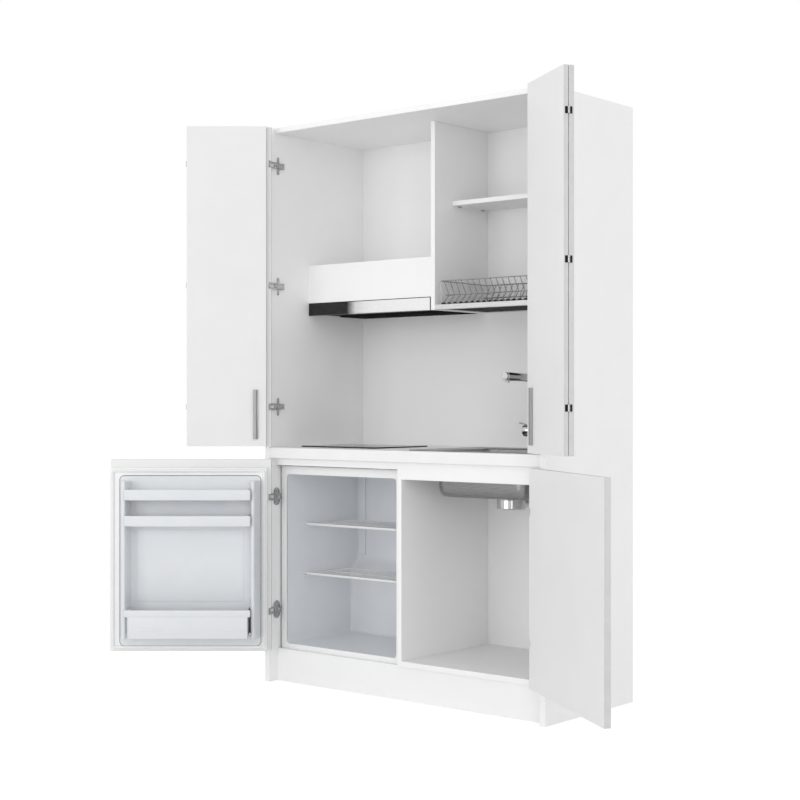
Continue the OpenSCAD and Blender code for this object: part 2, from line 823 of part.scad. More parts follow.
// fixed half of a left-hand door hinge: cross plate, arm and two prongs with the pin
module hinge_arm(z, reach) {
    x0 = -half_in - hinge_x;
    x1 = 2;
    y0 = board_setback + 1;
    plate_y = reach - 27;
    plate_w = 12;
    plate_t = 1.8;
    translate([hinge_x, hinge_y, z]) {
        for (s = [-1, 1]) translate([0, 0, s * (barrel_h / 2 + hinge_h / 2) / 2])
            translate([0, 0, -(hinge_h / 2 - barrel_h / 2) / 2]) {
                cylinder(r = eye_r, h = hinge_h / 2 - barrel_h / 2);
                translate([-1.6, 0, 0]) cube([3.2, y0 + 3, hinge_h / 2 - barrel_h / 2]);
            }
        translate([0, 0, -hinge_h / 2]) cylinder(r = pin_r, h = hinge_h);
        translate([x0, y0, -hinge_h / 2 + 2]) cube([x1 - x0, reach - y0, hinge_h - 4]);
        translate([-1.6, y0, -hinge_h / 2]) cube([3.2, 6, hinge_h]);
        translate([x0, plate_y, 0]) {
            translate([0, -plate_w / 2, -plate_h / 2 + plate_w / 2])
                cube([plate_t, plate_w, plate_h - plate_w]);
            for (s = [-1, 1]) translate([0, 0, s * (plate_h / 2 - plate_w / 2)])
                rotate([0, 90, 0]) cylinder(r = plate_w / 2, h = plate_t);
        }
    }
}

upper_reach = 74;
fridge_reach = fridge_recess + hinge_out - 2;

module hinge_arms_left() {
    color(steel) {
        for (z = leaf_hinges) hinge_arm(z, upper_reach);
        for (z = door_hinges) hinge_arm(z, fridge_reach);
    }
}

module hinge_arms_right() {
    color(steel) mirrored() {
        for (z = leaf_hinges) hinge_arm(z, upper_reach);
        for (z = door_hinges) hinge_arm(z, upper_reach);
    }
}

// moving half: barrel round the pin and tab on the wall of the notch
module hinge_eye(z, thick) {
    tab = 2.5;
    h = barrel_h - 2 * prong_gap;
    translate([hinge_x, hinge_y, z - h / 2]) difference() {
        union() {
            cylinder(r = eye_r, h = h);
            translate([notch_r - tab, 0, 0]) cube([tab, hinge_out + thick, h]);
        }
        translate([0, 0, -1]) cylinder(r = pin_r + run_c, h = h + 2);
    }
}

// notch in a door's edge that lets the prongs pass
module hinge_notch(z, thick) {
    translate([door_edge - 1, front - 1, z - hinge_h / 2 - notch_c])
        cube([hinge_x + notch_r - door_edge + 1, thick + 2, hinge_h + 2 * notch_c]);
}

// halves of the hinges between the leaves; s = -1 on the outer leaf, 1 on the inner one
fold_plate_t = 2.5;
fold_plate_l = 8;
fold_free = 0.3;
fold_deep = 6;

module fold_wing(z, s) {
    h = fold_hinge_h;
    third = h / 3;
    knuckles = s < 0 ? [[0, third - fold_free], [2 * third + fold_free, third - fold_free]]
                     : [[third, third]];
    a = leaf_gap / 2 + fold_deep;
    arm_t = 2.5;
    translate([fold_x, fold_y, z - h / 2]) difference() {
        union() {
            translate([s > 0 ? a - fold_plate_t : -a, -knuckle_r - fold_free - fold_plate_l, 0])
                cube([fold_plate_t, fold_plate_l + fold_free + arm_t, h]);
            for (k = knuckles) translate([0, 0, k[0]]) {
                cylinder(r = knuckle_r, h = k[1]);
                translate([s > 0 ? 0 : -a, -knuckle_r, 0]) cube([a, arm_t, k[1]]);
            }
            if (s < 0) cylinder(r = pin_r, h = h);
        }
        if (s > 0) translate([0, 0, -1]) cylinder(r = pin_r + run_c, h = h + 2);
    }
}

module fold_pocket(z, s) {
    h = fold_hinge_h + 2 * fold_free;
    a = leaf_gap / 2;
    translate([fold_x, fold_y, z - h / 2]) {
        cylinder(r = knuckle_r + fold_free, h = h);
        translate([s > 0 ? a - 1 : -a - fold_deep - eps,
            -knuckle_r - fold_free - fold_plate_l - eps, 0])
            cube([fold_deep + 1 + eps, fold_plate_l + knuckle_r + fold_free, h]);
    }
}

// ---- folding doors, left-hand form ----

module outer_leaf() {
    color(white) difference() {
        soft_board([door_edge, front, leaf_z0], [fold_x - leaf_gap / 2, front + leaf_t, leaf_z1]);
        for (z = leaf_hinges) {
            hinge_notch(z, leaf_t);
            fold_pocket(z, -1);
        }
    }
}

module outer_hinges() {
    color(steel) for (z = leaf_hinges) {
        hinge_eye(z, leaf_t);
        fold_wing(z, -1);
    }
}

module inner_leaf() {
    color(white) difference() {
        soft_board([fold_x + leaf_gap / 2, front, leaf_z0], [meet_edge, front + leaf_t, leaf_z1]);
        for (z = leaf_hinges) fold_pocket(z, 1);
    }
}

module inner_hinges() {
    color(steel) for (z = leaf_hinges) fold_wing(z, 1);
}

// solid profile lying on the leaf, hollowed on the side of the free edge for the fingers
module profile_handle() {
    foot_t = 1.5;
    lip_t = 1.5;
    lean = 0.3;
    scoop_r = (handle_reach - foot_t - lip_t) * 2 / 3;
    lip_x = -(handle_w - lean - handle_face);
    scoop_y = foot_t + scoop_r;
    scoop_x = lip_x + sqrt(pow(scoop_r, 2) - pow(handle_reach - lip_t - scoop_y, 2));
    color(steel) translate([meet_edge - handle_edge, front, leaf_z0 + handle_foot])
        linear_extrude(handle_len) difference() {
            polygon([[0, 0], [-handle_w, 0], [-handle_w + lean, -handle_reach],
                [lip_x, -handle_reach], [lip_x, -handle_reach + lip_t], [0, -foot_t]]);
            translate([scoop_x, -scoop_y]) circle(scoop_r);
        }
}

module left_outer_leaf() swing(left_open) outer_leaf();
module left_outer_hinges() swing(left_open) outer_hinges();
module left_inner_leaf() swing(left_open) fold() inner_leaf();
module left_inner_hinges() swing(left_open) fold() inner_hinges();
module left_handle() swing(left_open) fold() profile_handle();
module right_outer_leaf() mirrored() swing(right_open) outer_leaf();
module right_outer_hinges() mirrored() swing(right_open) outer_hinges();
module right_inner_leaf() mirrored() swing(right_open) fold() inner_leaf();
module right_inner_hinges() mirrored() swing(right_open) fold() inner_hinges();
module right_handle() mirrored() swing(right_open) fold() profile_handle();

// ---- lower doors ----

module lower_door(free_edge) {
    color(white) difference() {
        soft_board([door_edge, front, door_z0], [free_edge, front + lower_t, door_z1]);
        for (z = door_hinges) hinge_notch(z, lower_t);
    }
}

module lower_hinges() {
    color(steel) for (z = door_hinges) hinge_eye(z, lower_t);
}

module sink_door() mirrored() swing(sink_open) lower_door(meet_shift + meet_edge);
module sink_door_hinges() mirrored() swing(sink_open) lower_hinges();

module fridge_door_panel() {
    swing(fridge_open) {
        lower_door(meet_edge - meet_shift);
        lower_hinges();
    }
}

// ---- refrigerator ----

// side profile of the cavity, grown outwards by g, as a polygon in Y and Z
function cavity_profile(g) = [
    [fridge_y0 - 1, cav_z0 - g], [fridge_y0 - 1, cav_z1 + g], [cav_y1 + g, cav_z1 + g],
    [cav_y1 + g, cav_z0 + step_h + step_d - g], [cav_y1 - step_d + g, cav_z0 + step_h - g],
    [cav_y1 - step_d + g, cav_z0 - g]];

module cavity(g) {
    translate([cav_x0 - g, 0, 0]) rotate([90, 0, 90])
        linear_extrude(cav_x1 - cav_x0 + 2 * g) polygon(cavity_profile(g));
}

module fridge_cabinet() {
    niche_y = cav_y1 - step_d + liner_t + 30;
    color(white) difference() {
        union() {
            board([fridge_x0, fridge_y0 + flange_t, fridge_z0], [fridge_x1, fridge_y1, fridge_z1]);
            board([fridge_x0, front + plinth_setback + board_t + 20, base_z0],
                [fridge_x1, fridge_y1, fridge_z0 + eps]);
        }
        cavity(liner_t);
        board([fridge_x0 + 30, cav_y1 - step_d - 75, base_z0 - 1],
            [fridge_x1 - 30, fridge_y1 + 1, fridge_z0 - 10]);
        board([fridge_x0 + 30, niche_y, fridge_z0 - 11],
            [fridge_x1 - 30, fridge_y1 + 1, cav_z0 + step_h - 40]);
    }
}

ledge_w = 6;
ledge_t = 7;
shelf_r = 2.6;
levels = [shelf_low, shelf_low + shelf_gap];
channel_w = 36;
channel_t = 8;

module fridge_liner() {
    color(pale) difference() {
        union() {
            board([fridge_x0, fridge_y0, fridge_z0], [fridge_x1, fridge_y0 + flange_t, fridge_z1]);
            intersection() {
                cavity(liner_t);
                board([fridge_x0, fridge_y0, fridge_z0], [fridge_x1, fridge_y1, fridge_z1]);
            }
        }
        difference() {
            cavity(0);
            for (level = levels, x = [cav_x0 - 1, cav_x1 - ledge_w])
                translate([x, fridge_y0 + shelf_front - 12, cav_z0 + level - ledge_t])
                    cube([ledge_w + 1, cav_y1 - step_d - 10 - fridge_y0 - shelf_front + 12,
                        ledge_t]);
            translate([cav_x0 + 5, cav_y1 - channel_t, cav_z0 + step_h + step_d + 20])
                cube([channel_w, channel_t + 1, cav_z1 - cav_z0 - step_h - step_d - 20]);
        }
    }
}

module fridge_feet() {
    foot_r = 18;
    foot_in = 45;
    color(dark) for (x = [fridge_x0 + foot_in / 2 - 4, fridge_x1 - foot_in / 2 + 4],
        y = [front + plinth_setback + board_t + 20 + foot_in, fridge_y1 - foot_in])
        translate([x, y, 0]) {
            cylinder(r = foot_r, h = 6);
            cylinder(r = 6, h = base_z0);
        }
}

module fridge_brackets() {
    w = 40;
    t = 2;
    y = board_front + board_t;
    color(steel) for (x = [fridge_x0 + 60, fridge_x1 - 60 - w]) {
        board([x, y, fridge_z1], [x + w, y + w, fridge_z1 + t]);
        board([x, y, fridge_z1], [x + w, y + t, worktop_under - 4]);
    }
}

module compressor() {
    r = 44;
    x = (fridge_x0 + fridge_x1) / 2 - 100;
    y = fridge_y1 - r - 14;
    z = base_z0 + 3;
    pipe_l = 100;
    color(dark) {
        translate([x, y, z]) rotate_extrude() polygon([[0, 0], [r, 0], [r, 40],
            [r - 6, 56], [r - 18, 66], [0, 70]]);
        board([fridge_x0 + 30, y - r, base_z0], [fridge_x1 - 30, fridge_y1 - 6, z]);
        wire([[x + 20, y, z + 50], [x + 20, y, z + 71], [x + 20 + pipe_l, y, z + 71]], 4);
    }
}

thermo_in = 190;
thermo_y = fridge_y0 + thermo_in;
thermo_z = cav_z1 - 60;
thermo_t = 20;

module thermostat_box() {
    color(pale) difference() {
        board([cav_x1 - thermo_t, thermo_y - 55, thermo_z - 26],
            [cav_x1, thermo_y + 55, thermo_z + 26]);
        translate([cav_x1 - thermo_t - 1, thermo_y, thermo_z]) rotate([0, 90, 0])
            cylinder(r = 3 + run_c, h = 11);
    }
}

module thermostat_dial() {
    dial_r = 17;
    dial_t = 9;
    color(white) translate([cav_x1 - thermo_t - seat, thermo_y, thermo_z]) {
        difference() {
            rotate([0, -90, 0]) cylinder(r = dial_r, h = dial_t);
            translate([-dial_t - 1, -1, 5]) cube([2.2, 2, dial_r]);
        }
        rotate([0, -90, 0]) translate([0, 0, -9]) cylinder(r = 3, h = 9 + 1);
    }
}

// wire shelf that lies on the ledges and slides out
module wire_shelf(level) {
    x0 = cav_x0 + ledge_w / 2 + 0.5;
    x1 = cav_x1 - ledge_w / 2 - 0.5;
    y0 = fridge_y0 + shelf_front;
    y1 = cav_y1 - step_d - 14;
    z = cav_z0 + level + seat + shelf_r;
    wires = 17;
    pitch = (x1 - x0) / (wires + 1);
    color(white) {
        wire([[x0, y0 + 6, z], [x0, y1, z], [x1, y1, z], [x1, y0 + 6, z]], shelf_r);
        rod([x0, y0 + 6, z], [x1, y0 + 6, z], shelf_r);
        for (p = [[x0, y0 + 6, z], [x1, y0 + 6, z]]) translate(p) sphere(shelf_r);
        rod([x0 + 2, y0, z + 4], [x1 - 2, y0, z + 4], shelf_r);
        rod([x0, (y0 + y1) / 2, z], [x1, (y0 + y1) / 2, z], shelf_r);
        for (i = [1:wires]) rod([x0 + i * pitch, y0, z + 2.6], [x0 + i * pitch, y1, z + 2.6], 1.5);
    }
}

module wire_shelf_lower() wire_shelf(shelf_low);
module wire_shelf_upper() wire_shelf(shelf_low + shelf_gap);

// ---- refrigerator door ----

// cross-section of one side rib, lying along X from the outer foot
module dyke_section(h) {
    polygon([[0, 0], [dyke_base, 0], [dyke_base - dyke_draft, h], [dyke_slope, h]]);
}

module fridge_inner_door() {
    floor_t = 3;
    rib_foot = 31;
    rib_head = 15;
    swing(fridge_open) color(pale) {
        soft_board([slab_x0, front + lower_t, slab_z0], [slab_x1, slab_y1, slab_z1], 3);
        board([bump_x0, slab_y1 - eps, bump_z0], [bump_x1, slab_y1 + floor_t, bump_z1]);
        for (side = [0, 1])
            translate([side == 0 ? bump_x0 : bump_x1, slab_y1, bump_z0 + rib_foot])
                mirror([side, 0, 0])
                    linear_extrude(bump_z1 - bump_z0 - rib_foot - rib_head) dyke_section(dyke_h);
    }
}

module fridge_gasket() {
    t = fridge_recess - lower_t - slab_t - seal_gap;
    swing(fridge_open) color(white) difference() {
        board([slab_x0 + 3, slab_y1, slab_z0 + 3], [slab_x1 - 3, slab_y1 + t, slab_z1 - 3]);
        board([bump_x0 - 1, slab_y1 - 1, bump_z0 - 1], [bump_x1 + 1, slab_y1 + t + 1, bump_z1 + 1]);
    }
}

rack_in0 = bump_x0 + dyke_base;
rack_in1 = bump_x1 - dyke_base;
rack_floor = slab_y1 + 3;
bar_over = dyke_draft - 1;

// open box between the side ribs: bottom, front bar and the two ends
module door_rack(z, h, depth, bar_h, bar_z) {
    t = 3;
    y1 = rack_floor + depth;
    translate([0, 0, z]) {
        board([rack_in0, rack_floor, 0], [rack_in1, y1, t]);
        for (x = [rack_in0, rack_in1 - t]) board([x, rack_floor, 0], [x + t, y1, h]);
        translate([rack_in0 - bar_over, y1 - t - 8, bar_z]) linear_extrude(bar_h)
            soft_rect(rack_in1 - rack_in0 + 2 * bar_over, t + 8, 4);
    }
}

rack_bar = 38;
rack_depth = 84;

module door_racks() {
    swing(fridge_open) color(pale) for (z = [rack_top_z, rack_mid_z])
        door_rack(z - rack_bar, rack_bar, rack_depth, rack_bar, 0);
}
rack_head = 45;
rack_pitch = 93;
rack_top_z = bump_z1 - rack_head;
rack_mid_z = rack_top_z - rack_pitch;
tray_h = 101;
tray_z = bump_z0 + 38;

module bottle_tray() {
    swing(fridge_open) color(pale) {
        door_rack(tray_z, tray_h, rack_depth + 6, 25, tray_h - 25);
        board([rack_in0, rack_floor + rack_depth + 1, tray_z],
            [rack_in1, rack_floor + rack_depth + 3, tray_z + tray_h - 20]);
    }
}

// ---- what is drawn ----

side_panel_left();
side_panel_right();
top_panel();
bottom_panel();
lower_divider();
upper_divider();
plinth();
worktop();
back_panel_upper();
back_panel_lower();
sink_rail();
fridge_strip();
upper_shelf();
shelf_clips();
hood_shelf();
hood_front_board();
hood_body();
hood_filters();
hood_bar();
hood_visor();
hob_glass();
hob_tray();
sink_bowl();
sink_waste();
sink_trap();
sink_strainer();
tap_body();
tap_spout();
tap_knob();
rack_frame();
drip_tray();
plate_rack();
hinge_arms_left();
hinge_arms_right();
fridge_cabinet();
fridge_liner();
fridge_feet();
fridge_brackets();
compressor();
thermostat_box();
thermostat_dial();
wire_shelf_upper();
wire_shelf_lower();
left_outer_leaf();
left_outer_hinges();
left_inner_leaf();
left_inner_hinges();
left_handle();
right_outer_leaf();
right_outer_hinges();
right_inner_leaf();
right_inner_hinges();
right_handle();
fridge_door_panel();
fridge_inner_door();
fridge_gasket();
door_racks();
bottle_tray();
sink_door();
sink_door_hinges();
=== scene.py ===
"""Looks of the kitchenette: finer pieces, materials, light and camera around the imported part."""

import json  # noqa: E402
import math  # noqa: E402

import bmesh  # noqa: E402
import bpy  # noqa: E402
from mathutils import Matrix, Vector  # noqa: E402

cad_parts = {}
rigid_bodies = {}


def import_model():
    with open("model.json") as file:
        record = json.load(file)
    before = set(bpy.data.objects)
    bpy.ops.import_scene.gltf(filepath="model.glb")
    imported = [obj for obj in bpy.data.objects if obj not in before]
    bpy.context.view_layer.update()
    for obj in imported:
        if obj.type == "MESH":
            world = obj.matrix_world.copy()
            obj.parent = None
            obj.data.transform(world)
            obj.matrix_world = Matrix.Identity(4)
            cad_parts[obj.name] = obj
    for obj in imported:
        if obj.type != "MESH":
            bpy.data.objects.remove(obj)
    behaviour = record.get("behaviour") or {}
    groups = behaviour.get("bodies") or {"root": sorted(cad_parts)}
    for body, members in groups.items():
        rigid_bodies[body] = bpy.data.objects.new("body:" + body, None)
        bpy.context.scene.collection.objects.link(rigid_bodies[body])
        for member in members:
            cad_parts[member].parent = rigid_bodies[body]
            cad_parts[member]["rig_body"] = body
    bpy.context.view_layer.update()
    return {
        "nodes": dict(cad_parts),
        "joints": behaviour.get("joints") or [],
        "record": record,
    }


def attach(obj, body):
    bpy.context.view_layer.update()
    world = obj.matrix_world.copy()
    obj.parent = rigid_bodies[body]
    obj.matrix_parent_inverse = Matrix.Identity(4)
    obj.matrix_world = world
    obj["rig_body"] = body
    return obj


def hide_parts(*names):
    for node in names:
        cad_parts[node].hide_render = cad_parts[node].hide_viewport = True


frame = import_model()
nodes = frame["nodes"]
joints = {j["name"]: j for j in frame["joints"]}

# ---- camera ----

CAMERA_AT = (3.3480, -4.4969, 1.0245)
CAMERA_FORWARD = (-0.6418, 0.7669, 0.0)
SENSOR = 36.0
LENS = 68.65
HORIZON_OFFSET = 1.18 / 800  # the horizon lies a little under the picture's middle


def make_camera():
    """Camera as solved from the photograph's edges, in metres."""
    data = bpy.data.cameras.new("camera")
    data.sensor_width = SENSOR
    data.lens = LENS
    data.shift_y = HORIZON_OFFSET
    cam = bpy.data.objects.new("camera", data)
    cam.location = CAMERA_AT
    cam.rotation_mode = "QUATERNION"
    cam.rotation_quaternion = Vector(CAMERA_FORWARD).to_track_quat("-Z", "Y")
    bpy.context.scene.collection.objects.link(cam)
    bpy.context.scene.camera = cam


make_camera()

# ---- places ----


def turn(joint, degrees):
    """Matrix of a joint turned from rest."""
    j = joints[joint]
    at = Vector(j["pos_m"])
    turned = Matrix.Rotation(math.radians(degrees), 4, Vector(j["axis"]))
    return Matrix.Translation(at) @ turned @ Matrix.Translation(-at)


def home(body):
    """Matrix from a body's closed place to its place at rest, where the doors stand open."""
    doors = {
        "left_outer": ["left_door"],
        "left_inner": ["left_door", "left_fold"],
        "right_outer": ["right_door"],
        "right_inner": ["right_door", "right_fold"],
        "fridge_door": ["fridge_door"],
        "sink_door": ["sink_door"],
    }
    m = Matrix.Identity(4)
    for name in doors.get(body, []):
        low, high = joints[name]["range_deg"]
        closed = low if abs(low) > abs(high) else high
        m = m @ turn(name, closed)
    return m.inverted()


def local_box(node):
    """Lowest and highest corner of a node in its body's closed place, in millimetres."""
    back = home(nodes[node]["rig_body"]).inverted()
    points = [back @ v.co * 1000 for v in nodes[node].data.vertices]
    low = Vector(min(p[i] for p in points) for i in range(3))
    high = Vector(max(p[i] for p in points) for i in range(3))
    return low, high


# ---- mesh helpers, in millimetres ----

MM = 0.001
SMOOTH_ANGLE = 35  # edges sharper than this many degrees stay sharp
TINY = 1e-6


def merge(parts):
    """One mesh out of several."""
    out = bmesh.new()
    for part in parts:
        mesh = bpy.data.meshes.new("part")
        part.to_mesh(mesh)
        part.free()
        out.from_mesh(mesh)
        bpy.data.meshes.remove(mesh)
    return out


def block(low, high, r=1.0, segments=3):
    """Box with rounded edges."""
    bm = bmesh.new()
    low, high = Vector(low), Vector(high)
    size = high - low
    bmesh.ops.create_cube(bm, size=1)
    for v in bm.verts:
        v.co = Vector((v.co[i] + 0.5) * size[i] + low[i] for i in range(3))
    rounded(bm, min(r, min(size) / 2.01), segments)
    return bm


def rounded(bm, r, segments=3, edges=None):
    """Bevels the given edges, or all of them."""
    bmesh.ops.bevel(bm, geom=edges or bm.edges[:], offset=r, segments=segments, profile=0.5,
                    affect="EDGES", clamp_overlap=True)


def skin(bm, rings, closed=False):
    """Faces between rings of vertices; a ring of one vertex is a tip."""
    pairs = list(zip(rings, rings[1:]))
    if closed:
        pairs.append((rings[-1], rings[0]))
    for a, b in pairs:
        count = max(len(a), len(b))
        for k in range(count):
            q = (k + 1) % count
            corners = ([a[0]] if len(a) == 1 else [a[k], a[q]])
            corners += ([b[0]] if len(b) == 1 else [b[q], b[k]])
            if len(corners) > 2:
                bm.faces.new(corners)


def full_turn(steps):
    """Angles of a full circle in equal steps."""
    return [2 * math.pi * k / steps for k in range(steps)]


def stand(bm, at, towards):
    """Turns a mesh that is built along Z to a direction, and moves it to a place."""
    spin = Vector((0, 0, 1)).rotation_difference(Vector(towards)).to_matrix().to_4x4()
    bm.transform(Matrix.Translation(at) @ spin)
    return bm


def lathe(profile, at=(0, 0, 0), towards=(0, 0, 1), steps=48, closed=False):
    """Turned part: the profile gives (radius, height) pairs along the axis."""
    bm = bmesh.new()
    rings = []
    for radius, height in profile:
        if radius < TINY:
            rings.append([bm.verts.new((0, 0, height))])
            continue
        rings.append([bm.verts.new((radius * math.cos(t), radius * math.sin(t), height))
                      for t in full_turn(steps)])
    skin(bm, rings, closed)
    stand(bm, at, towards)
    bmesh.ops.recalc_face_normals(bm, faces=bm.faces)
    return bm


def filleted(points, bend, steps=6):
    """Path with its corners rounded."""
    points = [Vector(p) for p in points]
    out = [points[0]]
    for before, at, after in zip(points, points[1:], points[2:]):
        a, b = before - at, after - at
        cut = min(bend, a.length * 0.49, b.length * 0.49)
        start, end = at + a.normalized() * cut, at + b.normalized() * cut
        for k in range(steps + 1):
            t = k / steps
            out.append(start.lerp(at, t).lerp(at.lerp(end, t), t))
    out.append(points[-1])
    return out


def tube(points, r, steps=12, bend=0.0):
    """Round bar along a path, with slightly rounded ends."""
    path = filleted(points, bend) if bend else [Vector(p) for p in points]
    bm = bmesh.new()
    rings, normal = [], None
    last = len(path) - 1
    for i, p in enumerate(path):
        d = (path[min(i + 1, last)] - path[max(i - 1, 0)]).normalized()
        normal = d.orthogonal() if normal is None else normal - d * normal.dot(d)
        normal.normalize()
        side = d.cross(normal)
        spots = [(p, r)]
        if i in (0, last):
            inwards = d if i == 0 else -d
            spots = [(p, 0.75 * r), (p + inwards * 0.25 * r, r)]
            if i:
                spots.reverse()
        for spot, radius in spots:
            rings.append([bm.verts.new(spot + (normal * math.cos(t) + side * math.sin(t))
                                       * radius) for t in full_turn(steps)])
    skin(bm, rings)
    bm.faces.new(rings[0])
    bm.faces.new(rings[-1])
    bmesh.ops.recalc_face_normals(bm, faces=bm.faces)
    return bm


def prism(outline, low, high, axis="z", r=0.0, segments=3):
    """Outline pulled along an axis: (x, y) along z, (y, z) along x, (x, z) along y."""
    places = {"z": lambda p, h: (p[0], p[1], h), "x": lambda p, h: (h, p[0], p[1]),
              "y": lambda p, h: (p[0], h, p[1])}
    bm = bmesh.new()
    rings = [[bm.verts.new(places[axis](p, h)) for p in outline] for h in (low, high)]
    skin(bm, rings)
    for ring in rings:
        bm.faces.new(ring)
    bmesh.ops.recalc_face_normals(bm, faces=bm.faces)
    if r:
        rounded(bm, r, segments)
    return bm


def soft_rect(cx, cy, w, d, r, steps=8):
    """Outline of a rectangle with rounded corners, round its centre."""
    out = []
    for sx, sy, start in ((1, 1, 0), (-1, 1, 90), (-1, -1, 180), (1, -1, 270)):
        for k in range(steps + 1):
            t = math.radians(start + 90 * k / steps)
            out.append((cx + sx * (w / 2 - r) + r * math.cos(t),
                        cy + sy * (d / 2 - r) + r * math.sin(t)))
    return out


def upright(cx, cz, profile):
    """Soft rectangles that stand: the profile gives (width, height, corner radius, y) of each."""
    return [[(x, y, z) for x, z in soft_rect(cx, cz, w, h, r)] for w, h, r, y in profile]


def level(cx, cy, profile):
    """Soft rectangles that lie flat: the profile gives (width, depth, corner radius, z) of each."""
    return [[(x, y, z) for x, y in soft_rect(cx, cy, w, d, r)] for w, d, r, z in profile]


def loft(sections, closed=False):
    """Skin over outlines with equal numbers of points."""
    bm = bmesh.new()
    rings = [[bm.verts.new(p) for p in section] for section in sections]
    skin(bm, rings, closed)
    bmesh.ops.recalc_face_normals(bm, faces=bm.faces)
    return bm


def screw(at, towards, r=3.4, h=1.4):
    """Flat-topped screw head on a face, with a cross that stands a hair over its top."""
    slot_w, slot_l, deep = r * 0.16, r * 0.62, h * 0.45
    bm = lathe([(r, 0), (r, h * 0.35), (r * 0.86, h * 0.85), (r * 0.7, h), (0, h)], steps=24)
    bars = []
    for a, b in ((slot_l, slot_w), (slot_w, slot_l)):
        bars.append(block((-a, -b, h - deep), (a, b, h + 0.03), 0.01, 1))
    return stand(merge([bm] + bars), at, towards)


def put(name, bm, slot, body, *replaced, mirror=False, material=None):
    """Makes the piece, puts it in its body's place at rest and lets it ride there."""
    if mirror:
        bm.transform(Matrix.Scale(-1, 4, (1, 0, 0)))
        bmesh.ops.reverse_faces(bm, faces=bm.faces)
    bm.transform(home(body) @ Matrix.Scale(MM, 4))
    mesh = bpy.data.meshes.new(name)
    bm.to_mesh(mesh)
    bm.free()
    for face in mesh.polygons:
        face.use_smooth = True
    mesh.set_sharp_from_angle(angle=math.radians(SMOOTH_ANGLE))
    obj = bpy.data.objects.new(name, mesh)
    bpy.context.scene.collection.objects.link(obj)
    mesh.materials.append(material or MATERIALS[slot])
    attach(obj, body)
    if replaced:
        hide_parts(*replaced)
    return obj


# ---- materials ----


def node_tree(name):
    """New material, with its nodes and its links."""
    m = bpy.data.materials.new(name)
    m.use_nodes = True
    return m, m.node_tree.nodes, m.node_tree.links


def noise(n, l, coords, scale, detail=3.0, rough=0.5):
    """Noise texture over the given coordinates."""
    tex = n.new("ShaderNodeTexNoise")
    tex.inputs["Scale"].default_value = scale
    tex.inputs["Detail"].default_value = detail
    tex.inputs["Roughness"].default_value = rough
    l.new(coords, tex.inputs["Vector"])
    return tex


def stretched(n, l, stretch):
    """Object coordinates scaled along each axis, so that a noise becomes a grain."""
    tc = n.new("ShaderNodeTexCoord")
    mapping = n.new("ShaderNodeMapping")
    mapping.inputs["Scale"].default_value = stretch
    l.new(tc.outputs["Object"], mapping.inputs["Vector"])
    return mapping.outputs["Vector"]


def varied(n, l, source, low, high, start=0.3, end=0.7):
    """Maps a value, such as a noise that is mostly from 0.3 to 0.7, to a range."""
    span = n.new("ShaderNodeMapRange")
    span.inputs["From Min"].default_value = start
    span.inputs["From Max"].default_value = end
    span.inputs["To Min"].default_value = low
    span.inputs["To Max"].default_value = high
    l.new(source, span.inputs["Value"])
    return span.outputs["Result"]


def mixed(n, l, share, first, second):
    """Mix of two colours, each a tuple or a socket."""
    mix = n.new("ShaderNodeMix")
    mix.data_type = "RGBA"
    for name, colour in (("A", first), ("B", second)):
        if isinstance(colour, tuple):
            mix.inputs[name].default_value = (*colour, 1)
        else:
            l.new(colour, mix.inputs[name])
    l.new(share, mix.inputs["Factor"])
    return mix.outputs["Result"]


def surface(name, first, second, rough, metal=0.0, stretch=(1, 1, 1), scale=40.0, bump=0.0,
            bump_scale=400.0, bump_depth=0.0002, coat=0.0, spec=0.5, painted_reflection=None):
    """Surface with fine variation of colour and roughness, and a grain from a noise.

    fade = (axis, start, end, colour) blends to the main colours from another one along an axis: a
    painted reflection.
    """
    m, n, l = node_tree(name)
    bsdf = n["Principled BSDF"]
    coords = stretched(n, l, stretch)
    broad = noise(n, l, coords, scale)
    colour = mixed(n, l, varied(n, l, broad.outputs["Fac"], 0.0, 1.0), first, second)
    if painted_reflection:
        axis, start, end, other = painted_reflection
        tc = n.new("ShaderNodeTexCoord")
        parts = n.new("ShaderNodeSeparateXYZ")
        l.new(tc.outputs["Object"], parts.inputs[0])
        colour = mixed(n, l, varied(n, l, parts.outputs[axis], 0.0, 1.0, start, end), other,
                       colour)
    l.new(colour, bsdf.inputs["Base Color"])
    l.new(varied(n, l, broad.outputs["Fac"], *rough), bsdf.inputs["Roughness"])
    bsdf.inputs["Metallic"].default_value = metal
    bsdf.inputs["Specular IOR Level"].default_value = spec
    bsdf.inputs["Coat Weight"].default_value = coat
    bsdf.inputs["Coat Roughness"].default_value = 0.08
    if bump:
        fine = noise(n, l, coords, bump_scale, 4.0, 0.6)
        relief = n.new("ShaderNodeBump")
        relief.inputs["Strength"].default_value = bump
        relief.inputs["Distance"].default_value = bump_depth
        l.new(fine.outputs["Fac"], relief.inputs["Height"])
        l.new(relief.outputs["Normal"], bsdf.inputs["Normal"])
    return m


def grey(v):
    return (v, v, v)


